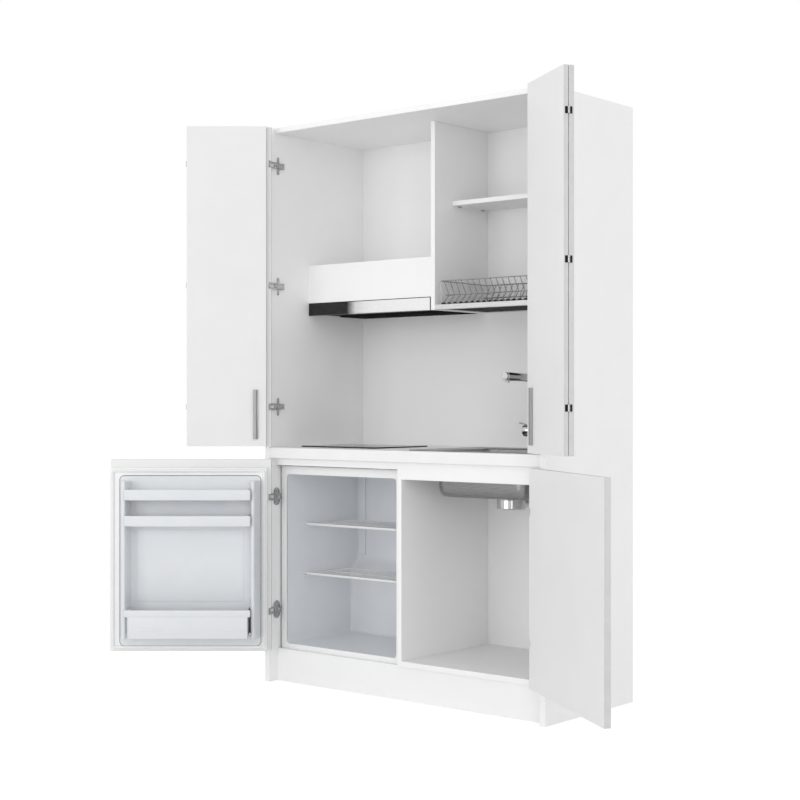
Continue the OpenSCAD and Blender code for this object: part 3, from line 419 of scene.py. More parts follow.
MATERIALS = {
    # painted light and shade: board_white is set lighter and leaf_white darker than the one white
    # laminate, to brighten the inner boards and dim the door faces
    "board_white": surface("board_white", grey(0.93), grey(0.95), (0.42, 0.50), scale=9,
                           bump=0.25, bump_scale=900, bump_depth=0.0001),
    "leaf_white": surface("leaf_white", grey(0.82), grey(0.84), (0.38, 0.46), scale=7,
                          bump=0.25, bump_scale=900, bump_depth=0.0001),
    "worktop_white": surface("worktop_white", grey(0.88), grey(0.91), (0.34, 0.42), scale=12,
                             bump=0.3, bump_scale=1400, bump_depth=0.0001),
    "fridge_shell": surface("fridge_shell", grey(0.90), grey(0.92), (0.32, 0.38), scale=20,
                            bump=0.15, bump_scale=500, bump_depth=0.0001, coat=0.2),
    "fridge_liner": surface("fridge_liner", (0.765, 0.785, 0.81), (0.785, 0.805, 0.83),
                            (0.30, 0.38), scale=15, bump=0.15, bump_scale=260,
                            bump_depth=0.0002),
    "gasket_white": surface("gasket_white", grey(0.84), grey(0.87), (0.5, 0.6), scale=60,
                            bump=0.2, bump_scale=700, bump_depth=0.0001),
    "wire_white": surface("wire_white", grey(0.92), grey(0.95), (0.28, 0.36), scale=60,
                          bump=0.1, bump_scale=600, bump_depth=0.0001),
    "brushed_steel": surface("brushed_steel", grey(0.24), grey(0.34), (0.22, 0.32), metal=1.0,
                             stretch=(1.5, 60, 60), scale=14, bump=0.12, bump_scale=30,
                             bump_depth=0.00005),
    "polished_steel": surface("polished_steel", grey(0.60), grey(0.66), (0.08, 0.15), metal=1.0,
                              scale=30, bump=0.02, bump_scale=300, bump_depth=0.0001),
    "hinge_metal": surface("hinge_metal", grey(0.40), grey(0.52), (0.22, 0.34), metal=1.0,
                           scale=120, bump=0.1, bump_scale=900, bump_depth=0.00005),
    "rail_aluminium": surface("rail_aluminium", grey(0.62), grey(0.70), (0.26, 0.34), metal=1.0,
                              stretch=(2, 50, 50), scale=12, bump=0.08, bump_scale=30,
                              bump_depth=0.00005),
    "dark_filter": surface("dark_filter", grey(0.010), grey(0.018), (0.85, 0.95), scale=80,
                           bump=0.2, bump_scale=600, bump_depth=0.0002, spec=0.08),
    "dark_glass": surface("dark_glass", grey(0.008), grey(0.011), (0.05, 0.08), scale=30,
                          coat=0.3),
    "visor_glass": surface("visor_glass", grey(0.012), grey(0.018), (0.55, 0.7), scale=30,
                           spec=0.1),
    "dark_plastic": surface("dark_plastic", grey(0.014), grey(0.022), (0.65, 0.8), scale=50,
                            bump=0.3, bump_scale=900, bump_depth=0.0001, spec=0.15),
    "trap_plastic": surface("trap_plastic", grey(0.80), grey(0.84), (0.35, 0.42), scale=40,
                            bump=0.15, bump_scale=600, bump_depth=0.0001),
    "black_metal": surface("black_metal", grey(0.02), grey(0.035), (0.3, 0.42), scale=50,
                           bump=0.3, bump_scale=500, bump_depth=0.0002),
    "knob_white": surface("knob_white", grey(0.84), grey(0.86), (0.28, 0.34), scale=60,
                          bump=0.1, bump_scale=600, bump_depth=0.0001),
}
# painted shade: the narrow sides of the door boards get a darker grey than their faces
EDGE_PAINTED_SHADE = surface("edge_painted_shade", grey(0.60), grey(0.64), (0.40, 0.50), scale=30, bump=0.2,
                    bump_scale=700, bump_depth=0.0001)
HANDLE_GREY = surface("handle_grey", grey(0.36), grey(0.44), (0.30, 0.42), metal=1.0,
                      stretch=(60, 60, 1.5), scale=14, bump=0.12, bump_scale=30,
                      bump_depth=0.00005)
# painted reflection: the bar's steel fades to near black towards its left end
BAR_PAINTED_REFLECTION = surface("bar_painted_reflection", grey(0.84), grey(0.88), (0.22, 0.30), metal=1.0,
                   stretch=(1.5, 60, 60), scale=14, bump=0.06, bump_scale=30,
                   bump_depth=0.00004, painted_reflection=("X", -0.405, -0.365, grey(0.050)))
WIRE_STEEL = surface("wire_steel", grey(0.34), grey(0.42), (0.18, 0.26), metal=1.0, scale=90,
                     bump=0.05, bump_scale=900, bump_depth=0.00005)
# painted shade: near black for the hinge plates at the bottom of the leaves' pockets
POCKET_PAINTED_SHADE = surface("pocket_painted_shade", grey(0.012), grey(0.020), (0.6, 0.7), scale=90,
                       bump=0.1, bump_scale=900, bump_depth=0.00005, spec=0.15)
# painted shade: near black for the fridge cabinet's faces inside the gaps round it
CASE_PAINTED_SHADE = surface("case_painted_shade", grey(0.030), grey(0.040), (0.5, 0.6), scale=30, bump=0.1,
                    bump_scale=500, bump_depth=0.0001, spec=0.2)
# painted shade: dark grey for the band that stands for a groove round the door's moulded face
GROOVE_PAINTED_SHADE = surface("groove_painted_shade", grey(0.14), grey(0.20), (0.6, 0.7), scale=60, bump=0.1,
                      bump_scale=600, bump_depth=0.0001, spec=0.2)
ZONE_PRINT = surface("zone_print", grey(0.42), grey(0.50), (0.3, 0.4), scale=60)

slot_of = {s["node"]: s["material_slot"] for s in frame["record"]["subparts"]}
for name, obj in nodes.items():
    obj.data.materials.clear()
    obj.data.materials.append(MATERIALS[slot_of[name]])

# ---- carried-over solids ----

BEVEL_WIDTH = 0.0006


def soften(name, width):
    """Welds a carried-over solid and, where a width is given, bevels its edges."""
    obj = nodes[name]
    weld = obj.modifiers.new("weld", "WELD")
    weld.merge_threshold = TINY
    if not width:
        return
    flat = obj.modifiers.new("flat", "DECIMATE")
    flat.decimate_type = "DISSOLVE"
    flat.angle_limit = math.radians(0.5)
    bevel = obj.modifiers.new("bevel", "BEVEL")
    bevel.width = width
    bevel.segments = 2
    bevel.limit_method = "ANGLE"
    bevel.angle_limit = math.radians(40)
    bevel.miter_outer = "MITER_ARC"
    bevel.use_clamp_overlap = True


def finish_faces(obj, material, wanted):
    """Gives another finish to the faces that a test picks."""
    mesh = obj.data
    mesh.materials.append(material)
    for polygon in mesh.polygons:
        if wanted(polygon):
            polygon.material_index = len(mesh.materials) - 1


def paint_edge_shade(obj, body):
    """Gives the narrow sides of a door board a darker grey than its faces: painted shade."""
    inwards = home(body).to_3x3() @ Vector((0, 1, 0))
    finish_faces(obj, EDGE_PAINTED_SHADE, lambda p: abs(p.normal.dot(inwards)) < 0.5)


# ---- hinges ----

HINGE_X, HINGE_Y = -591, -528.7
SIDE_X = -598
FOLD_X, FOLD_Y = -290.5, -508.65
LEAF_HINGES = (1004, 1446, 1888)
DOOR_HINGES = (260, 675)
UPPER_REACH, FRIDGE_REACH = 74, 57.7
LEAF_T, DOOR_T = 16, 22
AXIS_TO_FACE = 2.7  # from a door's axis to its outer face
PIN_R, EYE_R, KNUCKLE_R = 1.5, 3.7, 4
ARM_START = 27  # from the axis to the front end of the arm
PLATE_IN = 27  # from the back end of the arm to the middle of a plate of the usual width
PLATE_W, FRIDGE_PLATE_W = 12, 30
PLATE_H, PLATE_T = 65, 1.8
POCKET_DEEP, POCKET_PLATE_T = 7, 2.5


def drum(r, low, high, edge=0.4):
    """Profile of a disc or pin with broken edges."""
    return [(0, low), (r - edge, low), (r, low + edge), (r, high - edge), (r - edge, high),
            (0, high)]


def fixed_hinge(z, reach, plate_w=PLATE_W):
    """Cross plate, arm with its screws, and the two prongs round the pin."""
    x, y = HINGE_X, HINGE_Y
    arm_y, back = y + ARM_START, y + reach
    face = x + 0.6
    plate_face = SIDE_X + PLATE_T
    # a wider plate keeps its front edge, so that it clears the closed door
    plate_y = back - PLATE_IN + (plate_w - PLATE_W) / 2
    plate = soft_rect(plate_y, z, plate_w, PLATE_H, plate_w / 2 - 0.1)
    out = [lathe(drum(PIN_R, -12.4, 12.4), (x, y, z), steps=16),
           block((SIDE_X, arm_y, z - 10), (face, back, z + 10), 1.6),
           prism(plate, SIDE_X, plate_face, "x", 0.4),
           screw((face, arm_y + 10, z), (1, 0, 0), 3.0, 1.2),
           screw((face, back - 9, z), (1, 0, 0), 3.6, 1.3)]
    for s in (-1, 1):
        low, high = sorted((s * 6, s * 12))
        out.append(lathe(drum(EYE_R, low, high), (x, y, z), steps=24))
        out.append(block((x - 1.6, y + 2, z + low), (x + 1.6, arm_y + 4, z + high), 0.8))
        low, high = sorted((s * 8, s * 10))
        out.append(block((SIDE_X, arm_y, z + low), (x + 2, back, z + high), 0.6))
        out.append(screw((plate_face, plate_y, z + s * 25), (1, 0, 0), 4.4, 1.6))
    return out


def door_eye(z, thick):
    """Barrel round the pin and tab screwed to the door's notch."""
    x, y = HINGE_X, HINGE_Y
    outer_face = y + AXIS_TO_FACE
    half = 5.7
    return [lathe(drum(EYE_R, -half, half), (x, y, z), steps=24),
            block((x + 1.7, y + 0.5, z - half), (x + 4.2, outer_face + thick, z + half), 0.5),
            screw((x + 1.7, outer_face + thick * 0.6, z), (-1, 0, 0), 2.4, 0.8)]


def fold_plate(z, s):
    """Plate with its screws at the bottom of a leaf's pocket: s is -1 on the outer leaf."""
    x, y = FOLD_X, FOLD_Y
    face = x + s * (POCKET_DEEP - POCKET_PLATE_T)
    low, high = sorted((x + s * POCKET_DEEP, face))
    out = [block((low, y - 12.3, z - 10.5), (high, y - 1.5, z + 10.5), 0.4)]
    for at in (-5.5, 5.5):
        out.append(screw((face, y - 8.4, z + at), (-s, 0, 0), 2.2, 0.7))
    return out


def fold_barrel(z, s):
    """Knuckles between two leaves, with their webs, and the pin on the outer leaf."""
    x, y = FOLD_X, FOLD_Y
    low, high = sorted((x, x + s * POCKET_DEEP))
    knuckles = ((-10.5, -3.8), (3.8, 10.5)) if s < 0 else ((-3.5, 3.5),)
    out = []
    for foot, head in knuckles:
        out.append(lathe(drum(KNUCKLE_R, foot, head), (x, y, z), steps=24))
        out.append(block((low, y - KNUCKLE_R, z + foot), (high, y - 1.5, z + head), 0.4))
    if s < 0:
        out.append(lathe(drum(PIN_R, -10.5, 10.5), (x, y, z), steps=16))
    return out


def hinges():
    """All fixed halves, and what turns with each leaf and with the sink door."""
    arms = [p for z in LEAF_HINGES for p in fixed_hinge(z, UPPER_REACH)]
    arms += [p for z in DOOR_HINGES for p in fixed_hinge(z, FRIDGE_REACH, FRIDGE_PLATE_W)]
    put("hinges_left", merge(arms), "hinge_metal", "carcass", "hinge_arms_left")
    arms = [p for z in LEAF_HINGES + DOOR_HINGES for p in fixed_hinge(z, UPPER_REACH)]
    put("hinges_right", merge(arms), "hinge_metal", "carcass", "hinge_arms_right", mirror=True)
    for side in ("left", "right"):
        mirror = side == "right"
        outer = [p for z in LEAF_HINGES for p in door_eye(z, LEAF_T) + fold_barrel(z, -1)]
        put(side + "_outer_fittings", merge(outer), "hinge_metal", side + "_outer",
            side + "_outer_hinges", mirror=mirror)
        inner = [p for z in LEAF_HINGES for p in fold_barrel(z, 1)]
        put(side + "_inner_fittings", merge(inner), "hinge_metal", side + "_inner",
            side + "_inner_hinges", mirror=mirror)
        # the plates at the bottom of the pockets are made near black: painted shade of the pockets
        for leaf, s in (("_outer", -1), ("_inner", 1)):
            plates = [p for z in LEAF_HINGES for p in fold_plate(z, s)]
            put(side + leaf + "_plates", merge(plates), "hinge_metal", side + leaf,
                side + leaf + "_hinges", mirror=mirror, material=POCKET_PAINTED_SHADE)
    eyes = [p for z in DOOR_HINGES for p in door_eye(z, DOOR_T)]
    put("sink_door_fittings", merge(eyes), "hinge_metal", "sink_door", "sink_door_hinges",
        mirror=True)


# ---- refrigerator ----

FRIDGE_FRONT = -469
FLANGE_BACK = -466
DOOR_FRONT = HINGE_Y + AXIS_TO_FACE
DOOR_BACK = DOOR_FRONT + DOOR_T
SLAB_BACK = -476
RACK_LEFT, RACK_RIGHT, RACK_FLOOR = -521, -93, -473


def fridge_board():
    """The door's white front board with its notches, and the hinge eyes in them."""
    left, right, low, high = -596.5, -14, 117, 813
    notch, half = left + 9.7, 12.5
    outline = [(left, low), (right, low), (right, high), (left, high)]
    for z in reversed(DOOR_HINGES):
        outline += [(left, z + half), (notch, z + half), (notch, z - half), (left, z - half)]
    board = put("fridge_door_board", prism(outline, DOOR_FRONT, DOOR_BACK, "y", 1.0),
                "leaf_white", "fridge_door", "fridge_door_panel")
    paint_edge_shade(board, "fridge_door")
    eyes = [p for z in DOOR_HINGES for p in door_eye(z, DOOR_T)]
    put("fridge_door_fittings", merge(eyes), "hinge_metal", "fridge_door", "fridge_door_panel")


def fridge_inside_door():
    """Slab with its moulded face, a dark band round it as painted shade of a groove, and the seal.
    """
    slab = block((-584, DOOR_BACK, 124), (-15, SLAB_BACK, 784), 5, 4)
    put("door_slab", slab, "fridge_shell", "fridge_door", "fridge_inner_door")
    cx, cz, w, h = -307, 447.5, 508, 613
    moulded = [prism(soft_rect(cx, cz, w, h, 14), SLAB_BACK - 1, RACK_FLOOR, "y", 1.4),
               block((-500, RACK_FLOOR - 1, 300), (-114, RACK_FLOOR + 1.6, 560), 1.5)]
    for x, s in ((-561, 1), (-53, -1)):
        foot = [(x, SLAB_BACK), (x + s * 40, SLAB_BACK), (x + s * 28, -413),
                (x + s * 17.6, -413)]
        moulded.append(prism(foot, 172, 739, "z", 4.5, 4))
        for z in (184, 590, 683):
            low, high = sorted((x + s * 31, x + s * 39))
            moulded.append(block((low, -466, z), (high, -424, z + 9), 2))
    # painted shade: a thin dark band lies on the slab round the moulded face where a groove's shade
    # would fall
    groove = [(w + k, h + k, 15 + k / 2, y) for k, y in
              ((5, -476.2), (5, -475.6), (0, -475.6), (0, -476.2))]
    put("mould_groove_painted_shade", loft(upright(cx, cz, groove), closed=True), "fridge_liner",
        "fridge_door", "fridge_inner_door", material=GROOVE_PAINTED_SHADE)
    put("door_mould", merge(moulded), "fridge_liner", "fridge_door", "fridge_inner_door")
    cx, cz = -299.5, 454
    wide, tall = 563, 654
    steps = [(2, -476), (2, -472.6), (3.2, -470.4), (5, -469.4), (10, -469.4), (11.8, -470.4),
             (13.5, -472.6), (13.5, -476)]
    ring = [(wide - 2 * k, tall - 2 * k, 17 - k, y) for k, y in steps]
    put("door_seal", loft(upright(cx, cz, ring), closed=True), "gasket_white", "fridge_door",
        "fridge_gasket")


def rack_parts(z, h, depth, bar_z, bar_h):
    """Open rack between the ribs: floor with its bars, ends, low back, rounded front bar."""
    front = RACK_FLOOR + depth
    left, right = RACK_LEFT, RACK_RIGHT
    out = [block((left, RACK_FLOOR, z), (right, front, z + 3), 1.2),
           block((left, RACK_FLOOR, z), (right, RACK_FLOOR + 2, z + 16), 0.9),
           block((left - 11, front - 11, bar_z), (right + 11, front, bar_z + bar_h), 4, 4)]
    for x in (left, right - 3):
        out.append(block((x, RACK_FLOOR, z), (x + 3, front, z + h), 1.2))
    for k in range(1, 9):
        x = left + k * (right - left) / 9
        out.append(block((x - 1.5, RACK_FLOOR + 4, z + 2), (x + 1.5, front - 8, z + 4.4), 0.8))
    return out


def door_shelves():
    """The two racks, and the bottle tray with its tall front."""
    racks = [part for z in (671, 578) for part in rack_parts(z, 38, 84, z, 38)]
    put("door_rack_pair", merge(racks), "fridge_liner", "fridge_door", "door_racks")
    tray = rack_parts(179, 101, 90, 255, 25)
    tray.append(block((RACK_LEFT, -388.5, 179), (RACK_RIGHT, -385, 262), 1.6))
    for z in (196, 206):
        tray.append(block((RACK_LEFT + 14, -386, z), (RACK_RIGHT - 14, -384.2, z + 4), 0.8))
    put("bottle_rack", merge(tray), "fridge_liner", "fridge_door", "bottle_tray")


def liner():
    """Moulded lining with round corners, ledges, channel and front frame."""
    outline = [(FRIDGE_FRONT, 138), (FRIDGE_FRONT, 757), (-75, 757), (-75, 414), (-114, 375),
               (-114, 138)]
    shell = prism(outline, -564, -40, "x")

    def at_front(item):
        return all(abs(v.co.y - FRIDGE_FRONT) < 0.01 for v in item.verts)

    bmesh.ops.delete(shell, geom=[f for f in shell.faces if at_front(f)], context="FACES_ONLY")
    rounded(shell, 13, 5, [e for e in shell.edges if not at_front(e)])
    bmesh.ops.reverse_faces(shell, faces=shell.faces)
    inner = [(524, 619, 13, y) for y in (-466.8, -468.4)] + [(526, 621, 14, FRIDGE_FRONT)]
    outer = [(577, 667, 5, FRIDGE_FRONT), (580, 670, 6, -468.2), (580, 670, 6, -467)]
    rim = upright(-302, 447.5, inner) + upright(-302, 453, outer)
    parts = [shell, loft(rim), block((-559, -83, 434), (-523, -73, 756), 5, 4),
             block((-549, -90, 533), (-533, -80, 541), 3)]
    for z in (373, 557):
        parts.append(block((-566, -385, z), (-558, -124, z + 7), 2.6))
        parts.append(block((-46, -385, z), (-38, -124, z + 7), 2.6))
    lining = put("lining", merge(parts), "fridge_liner", "carcass", "fridge_liner")
    # the front frame is coated like the shell
    finish_faces(lining, MATERIALS["fridge_shell"],
                 lambda p: p.normal.y < -0.9 and p.center.y < FLANGE_BACK * MM)


def thermostat():
    """Case with its ring of marks, and the dial with its grips."""
    x, y, z = -60, -279, 697
    parts = [block((x, y - 55, z - 26), (-40, y + 55, z + 26), 5, 4)]
    for k in range(9):
        t = math.radians(-40 + 260 * k / 8)
        spot = (y + 21.5 * math.cos(t), z + 21.5 * math.sin(t))
        parts.append(lathe(drum(1.0, 0, 0.5, 0.2), (x, *spot), (-1, 0, 0), 12))
    put("thermostat_case", merge(parts), "fridge_liner", "carcass", "thermostat_box")
    knob = lathe([(0, 9), (11.4, 9), (12, 8.4), (12.8, 3.2), (16.4, 2.6), (17, 2), (17, 0.2),
                  (0, 0)], (x - 0.3, y, z), (-1, 0, 0))
    grips = [block((x - 8.7, y - 0.9, z + 4), (x - 9.6, y + 0.9, z + 11), 0.3, 1)]
    for t in full_turn(18):
        spot = (x - 3.6, y + 12.6 * math.cos(t), z + 12.6 * math.sin(t))
        grips.append(lathe(drum(0.9, 0, 4.6, 0.3), spot, (-1, 0, 0), 8))
    put("thermostat_knob", merge([knob] + grips), "knob_white", "dial", "thermostat_dial")


def cooling_unit():
    """Compressor pot with seam, feet, terminal box and pipes, on its base plate."""
    x, y, z = -402, -88, 28
    r = 44
    pot = [(0, 0), (30, 0), (38, 3), (42, 9), (43, 30), (44, 32), (44, 37), (43, 39), (42, 46),
           (38, 56), (28, 64), (14, 68.5), (0, 70)]
    parts = [lathe(pot, (x, y, z)),
             block((-562, y - r, 25), (-42, -36, 28), 1.0),
             block((x + 38, y - 16, z + 14), (x + 54, y + 16, z + 46), 3),
             tube([(x + 20, y, z + 50), (x + 20, y, z + 71), (x + 120, y, z + 71)], 4, bend=12),
             tube([(x - 34, y, z + 44), (x - 60, y, z + 60), (x - 60, y, z + 90)], 3, bend=14)]
    for sx, sy in ((-1, -1), (1, -1), (-1, 1), (1, 1)):
        parts.append(lathe([(0, 0), (9, 0), (9, 3), (6, 4), (6, 7), (0, 7)],
                           (x + sx * 36, y + sy * 30, z), steps=24))
    put("compressor_unit", merge(parts), "black_metal", "carcass", "compressor")


# ---- sink, waste and tap ----

SINK_X, SINK_Y = 300, -270
BOWL_X, BOWL_Y = 287, -272
DRAIN_Y = -245
TOP = 856
PLATE = TOP + 1.2


def sink():
    """Pressed steel: beaded rim, flat with drainer ribs, bowl with round corners."""
    rim = [(570, 430, 30, TOP + 0.1), (570, 430, 30, TOP + 1.8), (568.4, 428.4, 29, TOP + 2.5),
           (562, 422, 26, TOP + 2.4), (557, 417, 24, PLATE)]
    bowl = [(408, 331, 53, PLATE), (400, 323, 49, TOP + 0.6), (394, 317, 46, TOP - 1.2),
            (389.6, 312.6, 44, TOP - 4.5), (386, 309, 43, 760), (385, 308, 43, 738),
            (382, 305, 42, 722), (374, 297, 39, 710), (360, 283, 34, 702.4),
            (338, 261, 30, 699.4), (300, 220, 40, 698.6)]
    drain = [(2 * r, 2 * r, r - 0.01, z) for r, z in ((56, 697.9), (53, 697.4), (42, 697))]
    sheet = loft(level(SINK_X, SINK_Y, rim) + level(BOWL_X, BOWL_Y, bowl)
                 + level(BOWL_X, DRAIN_Y, drain))
    if sum(f.normal.z * f.calc_area() for f in sheet.faces) < 0:
        bmesh.ops.reverse_faces(sheet, faces=sheet.faces)
    ribs = [block((504, y - 2.6, PLATE - 0.8), (566, y + 2.6, PLATE + 1.1), 1.2)
            for y in range(-444, -120, 26)]
    pressed = put("sink_pressed", sheet, "brushed_steel", "carcass", "sink_bowl")
    thick = pressed.modifiers.new("sheet", "SOLIDIFY")
    thick.thickness = 0.0012
    thick.offset = -1
    put("sink_drainer", merge(ribs), "brushed_steel", "carcass", "sink_bowl")


def ribbed_nut(at, towards, r, length, count=16):
    """Plastic union nut with finger ribs."""
    out = [lathe([(0, 0), (r - 2, 0), (r - 1.4, 0.8), (r - 1.4, length - 0.8), (r - 2, length),
                  (0, length)])]
    for t in full_turn(count):
        bar = block((r - 2.2, -1.6, 1.2), (r, 1.6, length - 1.2), 0.7)
        bar.transform(Matrix.Rotation(t, 4, "Z"))
        out.append(bar)
    return stand(merge(out), at, towards)


def waste_and_trap():
    """Waste with its flange and pipe, and the bottle trap with its nuts and wall pipe."""
    x, y, pipe_z = BOWL_X, DRAIN_Y, 671.5
    trap_y, out_z = -62, 640
    body = [(39.2, 699.7), (51.6, 699.7), (53, 698.9), (53, 698.2), (41.7, 698.2),
            (41.7, 696.8), (53.2, 696.8), (54, 695.8), (54, 689.4), (51, 688), (50, 686.6),
            (50, 659), (47, 655), (30, 654.9), (0.4, 654.9), (0.4, 657.5), (39.2, 657.5)]
    waste = [lathe(body, (x, y, 0), steps=64, closed=True),
             tube([(x, y + 48, pipe_z), (x, trap_y - 26, pipe_z)], 15, 32)]
    put("waste_fitting", merge(waste), "polished_steel", "carcass", "sink_waste")
    bottle = [(0, 570), (24, 570), (27, 571.4), (27, 598), (25.6, 600), (25.6, 603), (26, 604),
              (26, 688), (25, 692), (22, 694.5), (0, 694.5)]
    pipe = [(18, 10), (18, 54), (20, 54), (20, 30.4), (23.4, 30), (24, 29.4), (24, 10)]
    trap = [lathe(bottle, (x, trap_y, 0)),
            ribbed_nut((x, trap_y, 572), (0, 0, 1), 30, 25, 20),
            ribbed_nut((x, trap_y - 8, pipe_z), (0, -1, 0), 22, 17.6),
            lathe(pipe, (x, trap_y, out_z), (0, 1, 0), closed=True)]
    put("bottle_trap", merge(trap), "trap_plastic", "carcass", "sink_trap")


def tap():
    """Column with collar, shank, nut and tails; the arm with its nozzle; the knob with its lever."""
    x, y = BOWL_X, -88.5
    foot = (x, y, PLATE)
    knob_z = PLATE + 64
    column = [(0, 0), (24.4, 0), (25, 0.6), (25, 3), (24, 4.4), (21.4, 5.2), (20.4, 6.4),
              (20, 8), (20, 84), (19.4, 86.4), (17.6, 87.8), (14.9, 88.2), (14.5, 89),
              (14.5, 221), (14, 222.4), (8, 222.8), (8, 234.8), (0, 234.8)]
    collar = [(0, 0), (22, 0), (22, 25.8), (21.2, 27), (8, 27), (8, 42), (0, 42)]
    parts = [lathe(column, foot, steps=64),
             lathe(collar, (x, y, knob_z), (-1, 0, 0), 64),
             lathe([(0, -43.2), (15.4, -43.2), (16, -42.4), (16, 4), (0, 4)], foot),
             lathe([(0, -25.2), (17, -25.2), (19, -24), (19, -3), (17, -1.4), (0, -1.4)], foot,
                   steps=6)]
    for side in (-10.5, 10.5):
        parts.append(tube([(x + side, y, PLATE - 31), (x + side, y, PLATE - 97)], 4.6, 16))
        parts.append(lathe([(0, -111.2), (4.4, -111.2), (5, -110.4), (5, -97), (4.4, -96.2),
                            (0, -96.2)], (x + side, y, PLATE), steps=24))
    put("tap_column", merge(parts), "polished_steel", "carcass", "tap_body")
    rise, aside = math.radians(2), math.radians(6)
    along = Vector((-math.sin(aside) * math.cos(rise), -math.cos(aside) * math.cos(rise),
                    math.sin(rise)))
    at = Vector((x, y, TOP + 248))
    nozzle = at + along * 156 + Vector((0, 0, -20.5))
    arm = [(14.5, 0), (14.5, 160), (14.1, 160.6), (14.5, 161.2), (14.5, 170.2), (13.8, 171.6),
           (12, 172), (0, 172.2)]
    elbow = [(15, 224.4), (15.5, 225), (15.5, 260), (14.6, 263), (12, 264.5), (0, 264.8)]
    spout = [lathe(arm, at, along, 64), lathe(elbow, (x, y, TOP), steps=64),
             lathe([(5.8, 0.8), (6.6, 0), (7.6, 0.4), (8, 1.2), (8, 12)], nozzle),
             lathe([(0, 0), (5.8, 0)], nozzle + Vector((0, 0, 0.9)), (0, 0, -1), 32)]
    put("spout_arm", merge(spout), "polished_steel", "spout", "tap_spout")
    at = Vector((x - 54, y, knob_z))
    drumhead = [(0, 0.6), (17, 0.3), (20.6, 0.8), (21.6, 1.8), (22, 3.2), (22, 9.6),
                (21.2, 10.4), (22, 11.2), (22, 25.4), (21.2, 26.7), (8.1, 26.7), (8.1, 14)]
    lever = [(0, 0), (3.2, 0), (3.0, 20), (3.2, 44), (3.5, 52), (3.5, 55), (2.8, 57.2), (0, 58)]
    tilt = math.radians(12)
    knob = [lathe(drumhead, at, (1, 0, 0), 64),
            lathe(lever, at + Vector((13.35, 0, 17.5)), (0, -math.cos(tilt), math.sin(tilt)),
                  24)]
    put("mixer_knob", merge(knob), "polished_steel", "mixer", "tap_knob")


# ---- dish rack, hob and hood ----


def plate_rack():
    """Bent wires on clips, with a closed frame at each end and five bars along them."""
    low, high = local_box("plate_rack")
    wire_r, bar_r = 1.4, 1.9
    end_half, end_gap, pitch = 2.5, 14, 25
    ends = (low.x + end_half, high.x - end_half)
    first, last = ends[0] + end_gap, ends[1] - end_gap
    count = round((last - first) / pitch) + 1
    foot, mid, head = 1366.3, 1397.3, 1445.3
    front, back, lean = -307, -30, 30
    wires, clips = [], []
    for k in range(count):
        x = first + k * (last - first) / (count - 1)
        path = [(front + 2, head), (front + lean, mid), (front, foot), (back, foot),
                (back - lean, mid), (back - 2, head)]
        wires.append(tube([(x, y, z) for y, z in path], wire_r, 8, bend=9))
        for y in (front, back):
            clips.append(block((x - 6, y - 5, 1363.3), (x + 6, y + 5, 1368.4), 1.4))
            clips.append(block((x - 2.6, y - 3.4, 1368), (x + 2.6, y + 3.4, 1370.4), 1.0))
    for x in ends:
        path = [(front + 2, head), (front + 4, foot), (back - 4, foot), (back - 2, head)]
        loop = [(x, y, z) for y, z in path]
        wires.append(tube(loop, bar_r, 10, bend=6))
        wires.append(tube([loop[-1], loop[0]], bar_r, 10))
    for y, z in ((front + 2, head), (back - 2, head), (front + lean, mid), (back - lean, mid),
                 ((front + back) / 2, foot + 1)):
        wires.append(tube([(ends[0], y, z), (ends[1], y, z)], bar_r, 10))
    put("rack_wires", merge(wires), "polished_steel", "dish_rack", "plate_rack",
        material=WIRE_STEEL)
    put("rack_clips", merge(clips), "dark_plastic", "dish_rack", "plate_rack")


def printed_ring(r, line, at, steps):
    """Thin ring of print lying on the hob's glass."""
    high = 0.12
    return lathe([(r, 0), (r, high), (r + line, high), (r + line, 0)], at, steps=steps,
                 closed=True)


def hob():
    """Glass with two zones of two rings each, and five small rings along its front."""
    x, y, under = -360, -270, 857
    top = under + 4
    plate = prism(soft_rect(x, y, 360, 300, 6), under, top, "z", 0.9)
    put("hob_plate", plate, "dark_glass", "carcass", "hob_glass")
    marks = []
    for cx, zone_r in ((x - 92, 72), (x + 82, 86)):
        for r in (zone_r, zone_r * 0.62):
            marks.append(printed_ring(r, 1.1, (cx, y + 14, top), 96))
    for k in range(5):
        marks.append(printed_ring(4, 0.9, (x - 44 + 22 * k, y - 128, top), 32))
    put("hob_print", merge(marks), "dark_glass", "carcass", "hob_glass", material=ZONE_PRINT)


def hood():
    """Grille with slats under the hood, and dark strips along the bar's top edge and at its ends:
    painted shade.
    """
    left, right = -586, -21
    parts = [block((left, -157, 1346.6), (right, -11, 1361.6), 2),
             block((left + 14, -277, 1362), (right - 14, -158, 1366), 1)]
    middle = (left + right) / 2
    for low, high in ((left + 10, middle - 6), (middle + 6, right - 10)):
        for y in range(-151, -20, 7):
            parts.append(block((low, y, 1345.4), (high, y + 3, 1347.4), 0.6))
    put("hood_grille", merge(parts), "dark_filter", "carcass", "hood_filters")
    # painted shade: dark strips stand for the shadow gap over the bar and the shade at its ends
    shade_strips = [block((-596, -317.5, 1389.4), (-11, -312, 1391.7), 0.4),
            block((-596.4, -317.5, 1345), (-594, -300, 1391.7), 0.4),
            block((-13, -317.5, 1345), (-10.6, -300, 1391.7), 0.4)]
    put("bar_painted_shade", merge(shade_strips), "dark_plastic", "hood_drawer")


hinges()
hood()
fridge_board()
fridge_inside_door()
door_shelves()
liner()
thermostat()
cooling_unit()
sink()
waste_and_trap()
tap()
plate_rack()
hob()

